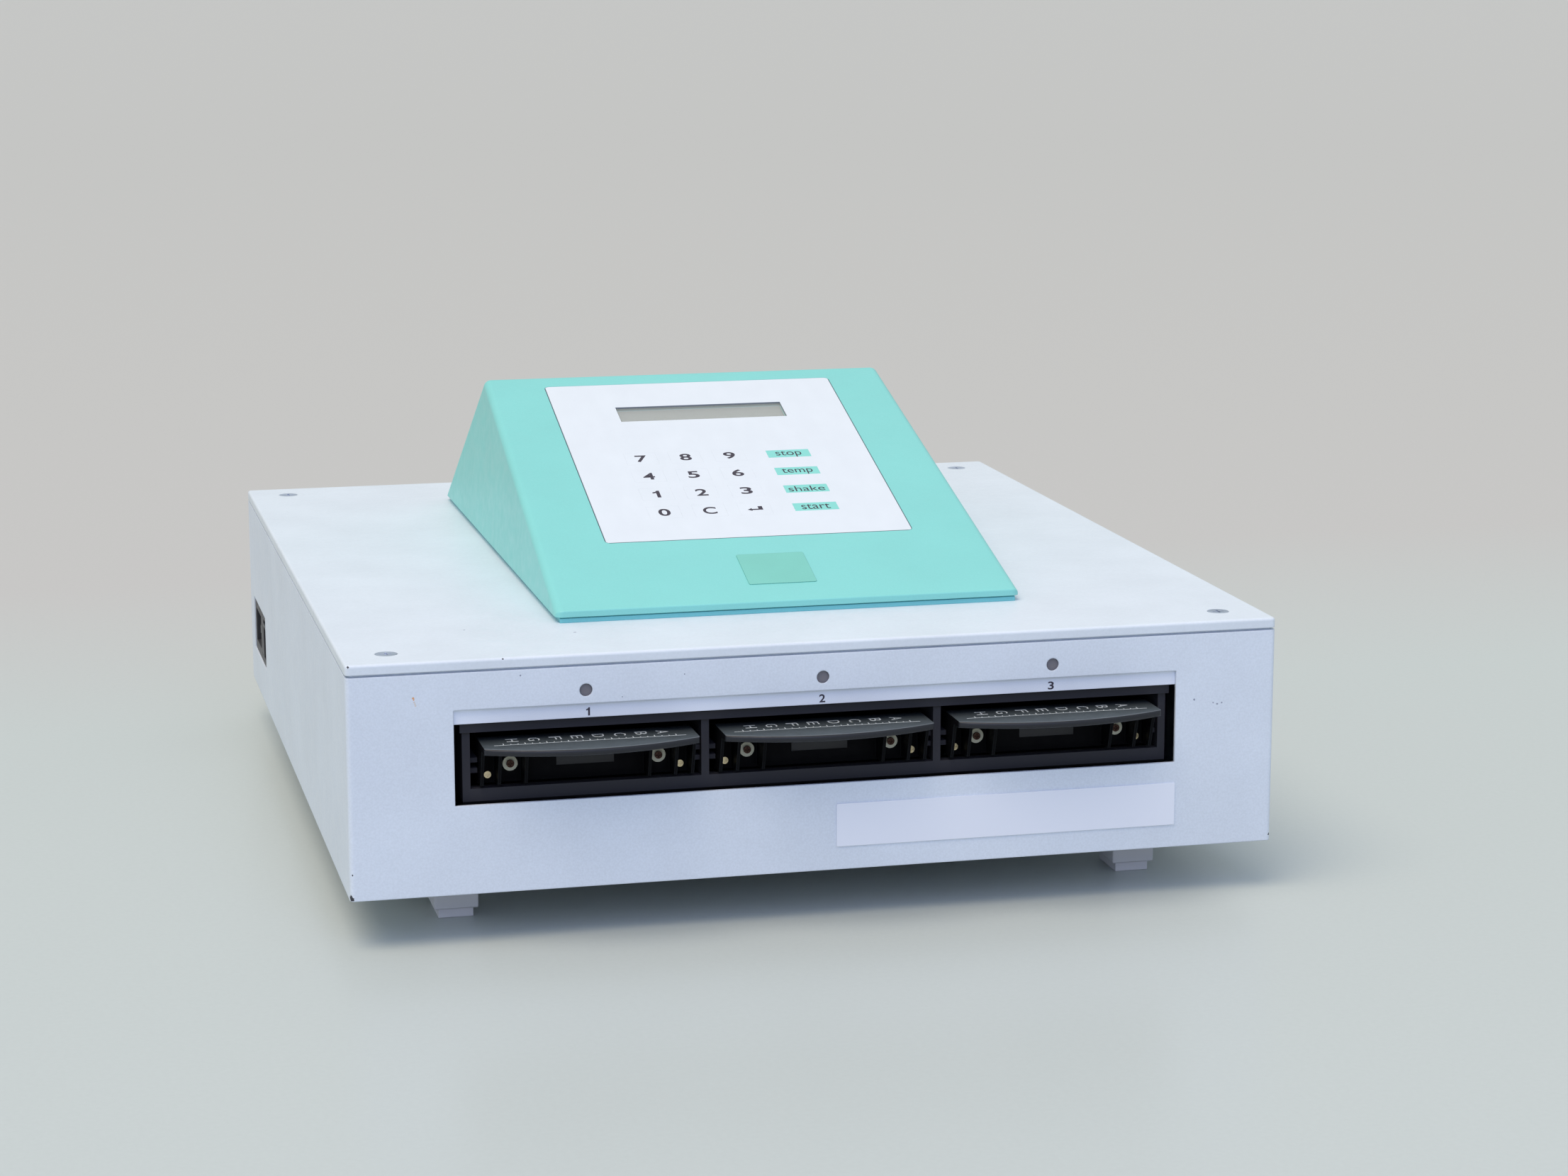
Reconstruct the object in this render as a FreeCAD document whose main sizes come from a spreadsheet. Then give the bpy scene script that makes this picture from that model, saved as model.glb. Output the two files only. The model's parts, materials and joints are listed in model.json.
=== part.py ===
import FreeCAD, Part
import Sketcher
import math
import os

# A bench-top shaker and incubator for three microplates.
# Origin: centre of the footprint, on the table. Front faces -Y, +X to the right, +Z up.

doc = FreeCAD.newDocument("shaker_incubator")
sheet = doc.addObject("Spreadsheet::Sheet", "Sizes")


class Size:
    """A number, together with the sheet expression that it comes from."""

    def __init__(self, number, text):
        self.number = number
        self.text = text

    def __add__(self, other):
        other = size(other)
        return Size(self.number + other.number, f"({self.text} + {other.text})")

    def __sub__(self, other):
        other = size(other)
        return Size(self.number - other.number, f"({self.text} - {other.text})")

    def __mul__(self, other):
        other = size(other)
        return Size(self.number * other.number, f"({self.text} * {other.text})")

    def __truediv__(self, other):
        other = size(other)
        return Size(self.number / other.number, f"({self.text} / {other.text})")

    def __neg__(self):
        return Size(-self.number, f"(-1 * {self.text})")

    __radd__ = __add__
    __rmul__ = __mul__

    def __rsub__(self, other):
        return size(other) - self

    def __rtruediv__(self, other):
        return size(other) / self


def size(value):
    """A plain number as a Size; a Size stays as it is."""
    if isinstance(value, Size):
        return value
    return Size(value, f"({value})")


def trig(name, angle):
    """The sine, cosine or tangent of an angle in degrees."""
    number = getattr(math, name)(math.radians(angle.number))
    return Size(number, f"{name}({angle.text})")


# The driving dimensions, in millimetres and degrees: alias, number, what it is.
SIZES = [
    ("case_width", 400, "case, left to right"),
    ("case_depth", 438, "case, front face to back face"),
    ("case_height", 98.8, "underside of the case to the top of the lid"),
    ("sheet_metal", 1.5, "thickness of the steel sheet"),
    ("bend_radius", 2, "outer radius of the upright bends"),
    ("lid_flange", 4.3, "height of the lid's folded edge"),
    ("lid_gap", 1.0, "shadow gap between lid and case"),
    ("lid_edge_radius", 1.2, "radius of the lid's upper edge"),
    ("rim_clear", 0.3, "clearance of the case rim inside the lid"),
    ("rim_wide", 1.5, "thickness of the case rim"),
    ("screw_inset", 19.3, "lid screws from each edge"),
    ("screw_dish", 9.7, "diameter of the countersink in the lid"),
    ("dish_deep", 1.2, "depth of that countersink"),
    ("cross_arm", 2.6, "half the length of a cross recess"),
    ("cross_half", 0.5, "half the width of a cross recess"),
    ("cross_deep", 0.75, "depth of a cross recess"),
    ("screw_shank", 4, "diameter of the lid screws"),
    ("pan_head", 8, "pan heads of the foot and console screws"),
    ("pan_tall", 2.4, "height of those heads"),
    ("screw_clear", 0.1, "radial clearance of a screw in its hole"),
    ("screw_length", 12, "length of the lid screws"),
    ("bracket_half", 8, "half the width of the brackets under the lid screws"),
    ("bracket_tall", 14, "height of those brackets"),
    ("block_long", 26, "foot block, front to back"),
    ("block_wide", 19, "foot block, left to right"),
    ("block_tall", 17.5, "foot block height"),
    ("pad_tall", 4.2, "foot pad height"),
    ("pad_inset", 2, "foot pad, in from the block on each side"),
    ("foot_screw_long", 11, "foot screws, reach below the case"),
    ("foot_side", 49, "middle of a foot from the side of the case"),
    ("foot_front", 52, "middle of a foot from the front or back face"),
    ("slot_wide", 311.2, "front opening, left to right"),
    ("slot_shift", 0.6, "front opening, left of the middle"),
    ("slot_drop", 21, "top of the front opening below the lid's top"),
    ("slot_tall", 40.2, "front opening with the number strip, height"),
    ("slot_round", 0.3, "corner radius of the front opening"),
    ("strip_show", 6.2, "visible height of the number strip"),
    ("strip_thick", 1, "thickness of the number strip"),
    ("strip_lap", 3, "number strip behind the sheet at top and ends"),
    ("bay_pitch", 100.4, "pitch of the three plate bays"),
    ("lamp_drop", 15.3, "indicator lamps below the lid's top"),
    ("lamp_wide", 5.4, "diameter of the lamp holes"),
    ("lamp_shift", 0.9, "indicator lamps, left of the bays' middles"),
    ("lens_long", 6, "indicator lenses, front to back"),
    ("lens_collar", 7.8, "collar of a lens behind the sheet"),
    ("label_wide", 150.2, "front label"),
    ("label_tall", 18.5, "front label"),
    ("label_thick", 0.6, "front label"),
    ("label_round", 0.3, "corner radius of the front label"),
    ("label_right", 44.8, "right edge of the label from the side of the case"),
    ("label_drop", 70.2, "top of the label below the lid's top"),
    ("console_wide", 207, "console at its foot"),
    ("console_top_wide", 196.4, "console along its ridge"),
    ("console_front", 61.5, "console's front behind the front face"),
    ("console_band", 5.3, "height of the console's front band"),
    ("console_base_tall", 1.9, "height of the console's base plate"),
    ("console_groove", 0.6, "shadow groove above the base plate"),
    ("groove_deep", 1.6, "depth of that groove"),
    ("base_side", 1.2, "console's base plate, further in at its sides"),
    ("console_slope", 17.37, "slope of the panel, in degrees"),
    ("console_run", 222.3, "front arris to the ridge, level"),
    ("console_back", 101, "ridge to the back foot, level"),
    ("console_ridge", 2, "flat on the ridge before rounding"),
    ("console_wall", 3.5, "wall of the console shell"),
    ("console_round", 3.5, "radius of the console's edges"),
    ("arris_round", 0.8, "radius of the console's front arris"),
    ("console_right", 0.6, "console's middle right of the case's middle"),
    ("overlay_wide", 141.2, "keypad overlay"),
    ("overlay_long", 163.4, "keypad overlay, along the slope"),
    ("overlay_low", 59.9, "overlay's lower edge from the front arris"),
    ("overlay_thick", 0.8, "keypad overlay"),
    ("overlay_round", 2.5, "overlay corner radius"),
    ("overlay_clear", 0.15, "gap round the overlay"),
    ("window_wide", 81, "display window"),
    ("window_long", 15.9, "display window"),
    ("window_low", 182, "window's lower edge from the front arris"),
    ("window_lap", 3, "window plate under the overlay"),
    ("window_thick", 1.2, "thickness of the window plate"),
    ("display_lap", 8, "display module wider than its window"),
    ("display_thick", 8, "thickness of the display module"),
    ("key_left", -38.6, "first digit column from the overlay's middle"),
    ("key_across", 21, "pitch of the digit columns"),
    ("key_low", 87.2, "lowest key row from the front arris"),
    ("key_up", 18.3, "pitch of the key rows"),
    ("key_wide", 15, "digit key"),
    ("key_long", 12, "digit key"),
    ("bar_key_at", 31.8, "function column from the overlay's middle"),
    ("bar_key_wide", 20.6, "function key"),
    ("bar_key_long", 7.6, "function key"),
    ("bar_key_drop", -0.3, "function keys against their row"),
    ("key_clear", 0.1, "gap round each key"),
    ("key_travel", 0.4, "travel of a key"),
    ("key_margin", 6, "backing beyond the keys"),
    ("backing_thick", 1.8, "keypad backing sheet"),
    ("badge_wide", 30.5, "small square plate under the keypad"),
    ("badge_long", 27.7, "small square plate under the keypad"),
    ("badge_low", 15.5, "its lower edge from the front arris"),
    ("badge_round", 1, "corner radius of that plate"),
    ("badge_thick", 0.3, "small square plate"),
    ("boss_wide", 9, "screw bosses in the console's base"),
    ("boss_tall", 8, "screw bosses in the console's base"),
    ("boss_side", 80, "bosses from the console's middle"),
    ("boss_front", 70, "front bosses behind the console's front"),
    ("boss_back", 290, "back bosses behind the console's front"),
    ("cable_hole", 30, "hole for the console's cable"),
    ("frame_front", 5.5, "bay frame behind the front face"),
    ("frame_long", 147, "bay frame, front to back"),
    ("frame_drop", 24, "top of the bay frame below the lid's top"),
    ("frame_low", 60.9, "underside of the bay frame below the lid's top"),
    ("bar_wide", 3.3, "upright bars of the bay frame"),
    ("bar_low", 5.3, "lower bar of the bay frame"),
    ("head_bar", 7.5, "height of the bar above the trays"),
    ("head_step", 1.5, "how far that bar stands forward"),
    ("head_side", 1, "how far that bar stands out at its ends"),
    ("frame_back", 2, "back wall of the bay frame"),
    ("tray_wide", 89.7, "tray over its side walls"),
    ("tray_wall", 1.5, "tray side wall"),
    ("tray_wall_front", 12, "tray's front wall behind the front face"),
    ("tray_long", 132.6, "tray behind its front wall's face"),
    ("tray_front_wall", 2, "tray's front wall"),
    ("tray_drop", 35.5, "top of the tray's handle below the lid's top"),
    ("plate_drop", 1, "tray walls below the handle's top"),
    ("handle_thick", 2.9, "thickness of the tray's handle"),
    ("handle_end", 9.5, "handle's ends before the front face"),
    ("handle_bow", 9.5, "further reach of the handle's middle"),
    ("tray_low", 55, "underside of the tray below the lid's top"),
    ("ledge_wide", 5, "ledge that the microplate stands on"),
    ("ledge_thick", 1.5, "that ledge"),
    ("rib_thick", 1.3, "ribs under the handle"),
    ("rib_outer", 37, "outer ribs from the tray's middle"),
    ("rib_inner", 25.9, "inner ribs from the tray's middle"),
    ("rib_reach", 2, "top of the ribs before the front face"),
    ("rib_slant", 5, "how far the ribs lean back"),
    ("rib_clear", 1, "ribs end above the tray's underside"),
    ("runner_thick", 1.8, "runner along each side of the tray"),
    ("runner_drop", 46.5, "middle of the runner below the lid's top"),
    ("runner_start", 4, "runner behind the tray's front wall's face"),
    ("rail_clear", 0.3, "clearance round a runner"),
    ("rail_thick", 2, "rails above and below a runner"),
    ("washer_wide", 6.35, "nylon washers"),
    ("washer_thick", 1.4, "nylon washers"),
    ("washer_side", 31.2, "nylon washers from the tray's middle"),
    ("washer_drop", 47, "nylon washers below the lid's top"),
    ("washer_screw", 3.2, "head of the screw in a washer"),
    ("corner_screw", 3, "head of the corner screws"),
    ("corner_side", 40.6, "corner screws from the tray's middle"),
    ("corner_drop", 51.4, "corner screws below the lid's top"),
    ("tray_screw_shank", 1.6, "shanks of the tray's screws"),
    ("tray_screw_deep", 1.8, "depth of the screw holes in the tray's front wall"),
    ("tray_screw_head", 0.95, "height of the tray screws' heads"),
    ("tray_screw_slit", 0.22, "half the width of their cross recesses"),
    ("base_clear", 0.3, "clearance round the heated bases"),
    ("base_gap", 0.3, "heated base below a tray"),
    ("cover_thick", 3, "heated cover's plate"),
    ("cover_block", 6, "heater block under it"),
    ("cover_inset", 4, "heater block in from the bay"),
    ("platform_thick", 5, "shaken platform"),
    ("throw", 1, "eccentricity of the cranks"),
    ("crank_back", 78, "drive crank's pin behind the front face"),
    ("idler_inset", 39, "idler cranks inwards from the middle of the feet"),
    ("idler_back", 44, "idler pins behind the front face"),
    ("pin_wide", 8, "crank pins"),
    ("shaft_wide", 12, "crank shafts"),
    ("running_clear", 0.05, "radial clearance of pins and shafts"),
    ("flange_gap", 0.7, "platform to the crank's flange"),
    ("flange_thick", 7.4, "crank flange"),
    ("pulley_wide", 60, "drive pulley's rim"),
    ("idler_wide", 26, "idler flange"),
    ("belt_thick", 1.2, "drive belt"),
    ("belt_wide", 5, "drive belt"),
    ("belt_clear", 0.1, "gap between belt and pulleys"),
    ("pulley_rim", 2.5, "height of the pulley rims over the belt's seat"),
    ("belt_ratio", 3, "drive pulley to motor pulley"),
    ("hub_wide", 24, "bearing hubs"),
    ("hub_gap", 0.6, "crank flange to its hub"),
    ("drive_plate_thick", 3, "plate that carries the bearings"),
    ("motor_back", 212, "motor behind the front face"),
    ("motor_wide", 52, "motor can"),
    ("motor_gap", 2.5, "motor can below its pulley"),
    ("motor_shaft", 5, "motor shaft"),
    ("inlet_back", 388.2, "middle of the mains module behind the front face"),
    ("inlet_drop", 66, "middle of the mains module below the lid's top"),
    ("inlet_long", 60, "mains module, front to back"),
    ("inlet_tall", 26.8, "mains module, height"),
    ("inlet_deep", 27, "mains module, depth"),
    ("inlet_recess", 0.6, "its face inside the case's side"),
    ("inlet_flange", 2.5, "flange behind the sheet"),
    ("inlet_clear", 0.2, "gap round the mains module"),
    ("socket_long", 24.6, "mains socket"),
    ("socket_tall", 17, "mains socket"),
    ("socket_deep", 16, "mains socket"),
    ("socket_back", 12.5, "middle of the socket behind the module's middle"),
    ("blade_long", 2, "socket blades, across"),
    ("blade_tall", 4, "socket blades, height"),
    ("blade_out", 14.5, "socket blades, length"),
    ("blade_side", 7, "outer blades from the socket's middle"),
    ("blade_drop", 2, "outer blades below and earth blade above the middle"),
    ("rocker_front", 20.5, "middle of the rocker before the module's middle"),
    ("rocker_long", 12.4, "rocker, front to back"),
    ("rocker_tall", 18.4, "rocker, height"),
    ("rocker_pivot", 5, "rocker's pivot behind its lips"),
    ("rocker_sink", 0.7, "rocker's lips inside the module's face when level"),
    ("rocker_dip", 1.1, "depth of the valley between the rocker's lips"),
    ("rocker_angle", 8, "tilt of the rocker each way, in degrees"),
    ("rocker_pin", 2, "diameter of the rocker's pivot"),
    ("pin_reach", 1, "pivot beyond the rocker at each end"),
    ("rocker_taper", 2, "how far the rocker's back corners are cut off"),
    ("rocker_room", 20, "height of the rocker's hollow"),
    ("rocker_deep", 15, "depth of the rocker's hollow"),
    ("rocker_clear", 0.3, "gap beside the rocker"),
    ("fuse_front", 6, "middle of the fuse drawer before the module's middle"),
    ("fuse_long", 10.4, "fuse drawer, front to back"),
    ("fuse_tall", 19.4, "fuse drawer, height"),
    ("fuse_deep", 16, "fuse drawer, depth"),
    ("board_side", 40, "control board from the case's left side"),
    ("board_back", 30, "control board from the case's back"),
    ("board_wide", 180, "control board"),
    ("board_long", 140, "control board"),
    ("board_thick", 1.6, "control board"),
    ("spacer_wide", 6, "spacers under the control board"),
    ("spacer_tall", 8, "spacers under the control board"),
    ("chip_wide", 18, "small chip on the board"),
    ("chip_tall", 4, "height of both chips"),
    ("long_chip_wide", 36, "long chip on the board"),
    ("long_chip_long", 14, "long chip on the board"),
    ("capacitor_wide", 22, "block of capacitors"),
    ("capacitor_long", 30, "block of capacitors"),
    ("capacitor_tall", 16, "block of capacitors"),
    ("header_wide", 46, "connector on the board"),
    ("header_long", 10, "connector on the board"),
    ("core_side", 54, "transformer from the case's right side"),
    ("core_back", 100, "transformer from the case's back"),
    ("core_wide", 76, "transformer core"),
    ("core_long", 40, "transformer core"),
    ("core_tall", 62, "transformer core"),
    ("coil_inset", 12, "transformer coil inside the core's outline"),
    ("coil_out", 13, "transformer coil beyond the core's faces"),
    ("vent_long", 26, "vent slots in the back"),
    ("vent_wide", 3, "vent slots in the back"),
    ("vent_round", 1.2, "corner radius of the vent slots"),
    ("vent_pitch", 9, "vent slots in the back"),
]
VENTS = 14
KEY_NAMES = [
    ("zero", "clear", "enter"),
    ("one", "two", "three"),
    ("four", "five", "six"),
    ("seven", "eight", "nine"),
]
BAR_KEY_NAMES = ("start", "shake", "temp", "stop")
BAYS = (-1, 0, 1)


class Sheet:
    """The sheet's sizes by name."""


s = Sheet()
for row, (alias, number, meaning) in enumerate(SIZES, start=1):
    sheet.set(f"A{row}", meaning)
    sheet.set(f"B{row}", str(number))
    sheet.setAlias(f"B{row}", alias)
    setattr(s, alias, Size(number, f"Sizes.{alias}"))
doc.recompute()

# Places worked out from the driving dimensions.
half_width = s.case_width / 2
handle_reach = s.handle_end + s.handle_bow
front = (handle_reach - s.case_depth) / 2
back = front + s.case_depth
case_low = s.block_tall + s.pad_tall
lid_top = case_low + s.case_height
lid_under = lid_top - s.sheet_metal
floor_top = case_low + s.sheet_metal
screw_hole = s.screw_shank + 2 * s.screw_clear
wall_top = lid_top - s.lid_flange - s.lid_gap

parts = []


def part(item):
    """Keep an object as one of the sub-parts; its label names its file."""
    parts.append(item)
    return item


def bind(item, **values):
    """Tie properties of an object to the sheet."""
    for name, value in values.items():
        item.setExpression(name, size(value).text)


def place(item, x, y, z, axis=None, angle=0):
    """Put an object at a point, turned by an angle about an axis."""
    if axis:
        turn = FreeCAD.Rotation(FreeCAD.Vector(*axis), size(angle).number)
        item.Placement = FreeCAD.Placement(FreeCAD.Vector(), turn)
        if isinstance(angle, Size):
            item.setExpression(".Placement.Rotation.Angle", angle.text)
    for letter, value in zip("xyz", (x, y, z)):
        item.setExpression(f".Placement.Base.{letter}", size(value).text)
    return item


def block(name, low, high, lay=place):
    """A box between two opposite corners, laid down by place or on_slope."""
    item = doc.addObject("Part::Box", name)
    bind(item, Length=high[0] - low[0], Width=high[1] - low[1], Height=high[2] - low[2])
    return lay(item, *low)


ALONG = {"x": ((0, 1, 0), 90), "y": ((1, 0, 0), -90), "z": (None, 0)}


def rod(name, diameter, length, x, y, z, along="z"):
    """A round bar from a point, along one axis."""
    item = doc.addObject("Part::Cylinder", name)
    bind(item, Radius=size(diameter) / 2, Height=length)
    return place(item, x, y, z, *ALONG[along])


def cone(name, low_diameter, high_diameter, length, x, y, z, along="z"):
    """A cone between two diameters, from a point, along one axis."""
    item = doc.addObject("Part::Cone", name)
    bind(item, Radius1=size(low_diameter) / 2, Radius2=size(high_diameter) / 2, Height=length)
    return place(item, x, y, z, *ALONG[along])


def join(name, *items):
    """One solid from several that touch or overlap."""
    item = doc.addObject("Part::MultiFuse", name)
    item.Shapes = list(items)
    item.Refine = True
    return item


def group(name, *items):
    """Separate solids under one name."""
    item = doc.addObject("Part::Compound", name)
    item.Links = list(items)
    return item


def cut(name, base, *tools):
    """One solid with others taken out of it."""
    item = doc.addObject("Part::Cut", name)
    item.Base = base
    item.Tool = tools[0] if len(tools) == 1 else join(name + "_tools", *tools)
    return item


def new_body(name):
    """A body with its own origin planes."""
    return doc.addObject("PartDesign::Body", name)


def new_sketch(body, name, plane="XY", offset=0):
    """A sketch on one of the body's own planes, moved along the plane's normal."""
    sketch = body.newObject("Sketcher::SketchObject", name)
    support = [item for item in body.Origin.OriginFeatures if item.Role == plane + "_Plane"]
    sketch.AttachmentSupport = (support[0], [""])
    sketch.MapMode = "FlatFace"
    sketch.setExpression(".AttachmentOffset.Base.z", size(offset).text)
    return sketch


def fix(sketch, kind, *where, value):
    """A dimension in a sketch, tied to the sheet."""
    value = size(value)
    index = sketch.addConstraint(Sketcher.Constraint(kind, *where, value.number))
    sketch.setExpression(f"Constraints[{index}]", value.text)


def fix_point(sketch, curve, point, x, y):
    """Hold one point of a curve at x and y from the sketch's origin."""
    fix(sketch, "DistanceX", -1, 1, curve, point, value=x)
    fix(sketch, "DistanceY", -1, 1, curve, point, value=y)


def vector(x, y):
    return FreeCAD.Vector(size(x).number, size(y).number, 0)


def draw_polygon(sketch, points):
    """A closed outline of straight lines through the given points."""
    first = sketch.GeometryCount
    count = len(points)
    for index, point in enumerate(points):
        following = points[(index + 1) % count]
        sketch.addGeometry(Part.LineSegment(vector(*point), vector(*following)))
    for index, point in enumerate(points):
        line = first + index
        sketch.addConstraint(Sketcher.Constraint("Coincident", line, 2, first + (index + 1) % count, 1))
        fix_point(sketch, line, 1, *point)


def draw_rectangle(sketch, low, high):
    """A rectangle between two corners."""
    draw_polygon(sketch, [low, (high[0], low[1]), high, (low[0], high[1])])


def draw_rounded(sketch, low, high, radius):
    """A rectangle between two corners, with rounded corners of one radius."""
    first = sketch.GeometryCount
    (left, bottom), (right, top) = low, high
    inner_left, inner_right = left + radius, right - radius
    inner_bottom, inner_top = bottom + radius, top - radius
    lines = [
        ((inner_left, bottom), (inner_right, bottom)),
        ((right, inner_bottom), (right, inner_top)),
        ((inner_right, top), (inner_left, top)),
        ((left, inner_top), (left, inner_bottom)),
    ]
    centres = [
        (inner_right, inner_bottom),
        (inner_right, inner_top),
        (inner_left, inner_top),
        (inner_left, inner_bottom),
    ]
    up = FreeCAD.Vector(0, 0, 1)
    for start, end in lines:
        sketch.addGeometry(Part.LineSegment(vector(*start), vector(*end)))
    for quarter, centre in enumerate(centres):
        circle = Part.Circle(vector(*centre), up, size(radius).number)
        begin = math.pi / 2 * (quarter - 1)
        sketch.addGeometry(Part.ArcOfCircle(circle, begin, begin + math.pi / 2))
    for side in range(4):
        line, arc, following = first + side, first + 4 + side, first + (side + 1) % 4
        sketch.addConstraint(Sketcher.Constraint("Tangent", line, 2, arc, 1))
        sketch.addConstraint(Sketcher.Constraint("Tangent", arc, 2, following, 1))
        sketch.addConstraint(Sketcher.Constraint("Vertical" if side % 2 else "Horizontal", line))
        if side:
            sketch.addConstraint(Sketcher.Constraint("Equal", first + 4, arc))
    fix(sketch, "Radius", first + 4, value=radius)
    fix(sketch, "DistanceY", -1, 1, first, 1, value=bottom)
    fix(sketch, "DistanceX", -1, 1, first + 1, 1, value=right)
    fix(sketch, "DistanceY", -1, 1, first + 2, 1, value=top)
    fix(sketch, "DistanceX", -1, 1, first + 3, 1, value=left)


def draw_circle(sketch, x, y, diameter):
    """A circle about a point."""
    index = sketch.GeometryCount
    radius = size(diameter) / 2
    sketch.addGeometry(Part.Circle(vector(x, y), FreeCAD.Vector(0, 0, 1), radius.number))
    fix_point(sketch, index, 3, x, y)
    fix(sketch, "Radius", index, value=radius)


def pad(body, name, sketch, length, both_ways=False):
    """Add material along the sketch's normal, or half of it to each side."""
    feature = body.newObject("PartDesign::Pad", name)
    feature.Profile = sketch
    feature.Midplane = both_ways
    bind(feature, Length=length)
    return feature


def pocket(body, name, sketch, depth=None, both_ways=False):
    """Take material away behind the sketch, to a depth or all the way."""
    feature = body.newObject("PartDesign::Pocket", name)
    feature.Profile = sketch
    feature.Midplane = both_ways
    if depth is None:
        feature.Type = "ThroughAll"
    else:
        bind(feature, Length=depth)
    return feature


def repeat(body, name, feature, axis, length, count):
    """A feature several times in a row, over the given length."""
    pattern = body.newObject("PartDesign::LinearPattern", name)
    pattern.Originals = [feature]
    direction = [item for item in body.Origin.OriginFeatures if item.Role == axis + "_Axis"]
    pattern.Direction = (direction[0], [""])
    pattern.Occurrences = count
    bind(pattern, Length=length)
    body.Tip = pattern
    return pattern


def round_edges(body, name, radius, wanted):
    """Round the edges of the body so far whose ends pass a test."""
    doc.recompute()
    feature = body.Tip
    names = []
    for index, edge in enumerate(feature.Shape.Edges, start=1):
        if wanted([vertex.Point for vertex in edge.Vertexes]):
            names.append(f"Edge{index}")
    fillet = body.newObject("PartDesign::Fillet", name)
    fillet.Base = (feature, names)
    bind(fillet, Radius=radius)
    return fillet


# The case: a folded steel tub with the front opening, and a rim that the lid fits over.
def case_outline(sketch, inset):
    """The case's plan, moved in by a distance."""
    low = (inset - half_width, front + inset)
    high = (half_width - inset, back - inset)
    draw_rounded(sketch, low, high, s.bend_radius - size(inset) / 2)


rim_outer = s.sheet_metal + s.rim_clear
rim_inner = rim_outer + s.rim_wide
slot_left = -s.slot_wide / 2 - s.slot_shift
slot_right = s.slot_wide / 2 - s.slot_shift
slot_top = lid_top - s.slot_drop
slot_low = slot_top - s.slot_tall
lamp_height = lid_top - s.lamp_drop
inlet_middle = front + s.inlet_back
inlet_height = lid_top - s.inlet_drop
foot_x = half_width - s.foot_side
foot_y = (front + s.foot_front, back - s.foot_front)
feet = [(side * foot_x, y) for side in (-1, 1) for y in foot_y]
post_x = half_width - s.screw_inset
posts = [(side * post_x, y) for side in (-1, 1) for y in (front + s.screw_inset, back - s.screw_inset)]

case = part(new_body("case_tub"))
outline = new_sketch(case, "case_plan", offset=case_low)
case_outline(outline, 0)
pad(case, "case_block", outline, wall_top - case_low)
inside = new_sketch(case, "case_inside_plan", offset=wall_top)
case_outline(inside, s.sheet_metal)
pocket(case, "case_inside", inside, wall_top - floor_top)
shelf = new_sketch(case, "rim_shelf_plan", offset=wall_top - s.sheet_metal)
case_outline(shelf, s.sheet_metal / 2)
case_outline(shelf, rim_inner)
pad(case, "rim_shelf", shelf, s.sheet_metal)
rim = new_sketch(case, "rim_plan", offset=wall_top - s.sheet_metal)
case_outline(rim, rim_outer)
case_outline(rim, rim_inner)
pad(case, "rim", rim, lid_under - wall_top + s.sheet_metal)
slot = new_sketch(case, "front_slot_plan", "XZ", -front + s.sheet_metal)
draw_rounded(slot, (slot_left, slot_low), (slot_right, slot_top), s.slot_round)
pocket(case, "front_slot", slot, 3 * s.sheet_metal)
lamps = new_sketch(case, "lamp_hole_plan", "XZ", -front + s.sheet_metal)
for bay in BAYS:
    draw_circle(lamps, bay * s.bay_pitch - s.lamp_shift, lamp_height, s.lamp_wide)
pocket(case, "lamp_holes", lamps, 3 * s.sheet_metal)
inlet_hole = new_sketch(case, "inlet_hole_plan", "YZ", -half_width + 2 * s.sheet_metal)
inlet_half = (s.inlet_long / 2 + s.inlet_clear, s.inlet_tall / 2 + s.inlet_clear)
draw_rectangle(
    inlet_hole,
    (inlet_middle - inlet_half[0], inlet_height - inlet_half[1]),
    (inlet_middle + inlet_half[0], inlet_height + inlet_half[1]),
)
pocket(case, "inlet_hole", inlet_hole, 3 * s.sheet_metal)
foot_holes = new_sketch(case, "foot_hole_plan", offset=floor_top + s.sheet_metal)
for x, y in feet:
    draw_circle(foot_holes, x, y, screw_hole)
pocket(case, "foot_holes", foot_holes, 3 * s.sheet_metal)
vent = new_sketch(case, "vent_plan", "XZ", -back + 2 * s.sheet_metal)
vent_left = -s.vent_pitch * (VENTS - 1) / 2
vent_middle = (case_low + lid_top) / 2
draw_rounded(
    vent,
    (vent_left - s.vent_wide / 2, vent_middle - s.vent_long / 2),
    (vent_left + s.vent_wide / 2, vent_middle + s.vent_long / 2),
    s.vent_round,
)
first_vent = pocket(case, "vent", vent, 4 * s.sheet_metal)
repeat(case, "vents", first_vent, "X", s.vent_pitch * (VENTS - 1), VENTS)

# The lid: a shallow folded pan with four countersunk screws.
console_middle = s.console_right
console_y = front + s.console_front
cable_y = console_y + (s.boss_front + s.boss_back) / 2
bosses = [
    (console_middle + side * s.boss_side, console_y + y)
    for side in (-1, 1)
    for y in (s.boss_front, s.boss_back)
]
lid = new_body("lid_pan")
outline = new_sketch(lid, "lid_plan", offset=lid_top - s.lid_flange)
case_outline(outline, 0)
pad(lid, "lid_block", outline, s.lid_flange)
round_edges(
    lid, "lid_edge", s.lid_edge_radius, lambda ends: all(p.z > lid_top.number - 0.01 for p in ends)
)
inside = new_sketch(lid, "lid_inside_plan", offset=lid_under)
case_outline(inside, s.sheet_metal)
pocket(lid, "lid_inside", inside, 2 * s.lid_flange)
holes = new_sketch(lid, "lid_hole_plan", offset=lid_top + s.sheet_metal)
draw_circle(holes, console_middle, cable_y, s.cable_hole)
for x, y in posts + bosses:
    draw_circle(holes, x, y, screw_hole)
pocket(lid, "lid_holes", holes, 4 * s.sheet_metal)
dish_foot = s.screw_dish - 2 * s.dish_deep
dishes = [
    cone(f"dish_{n}", dish_foot, s.screw_dish, s.dish_deep, x, y, lid_top - s.dish_deep)
    for n, (x, y) in enumerate(posts)
]
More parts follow.
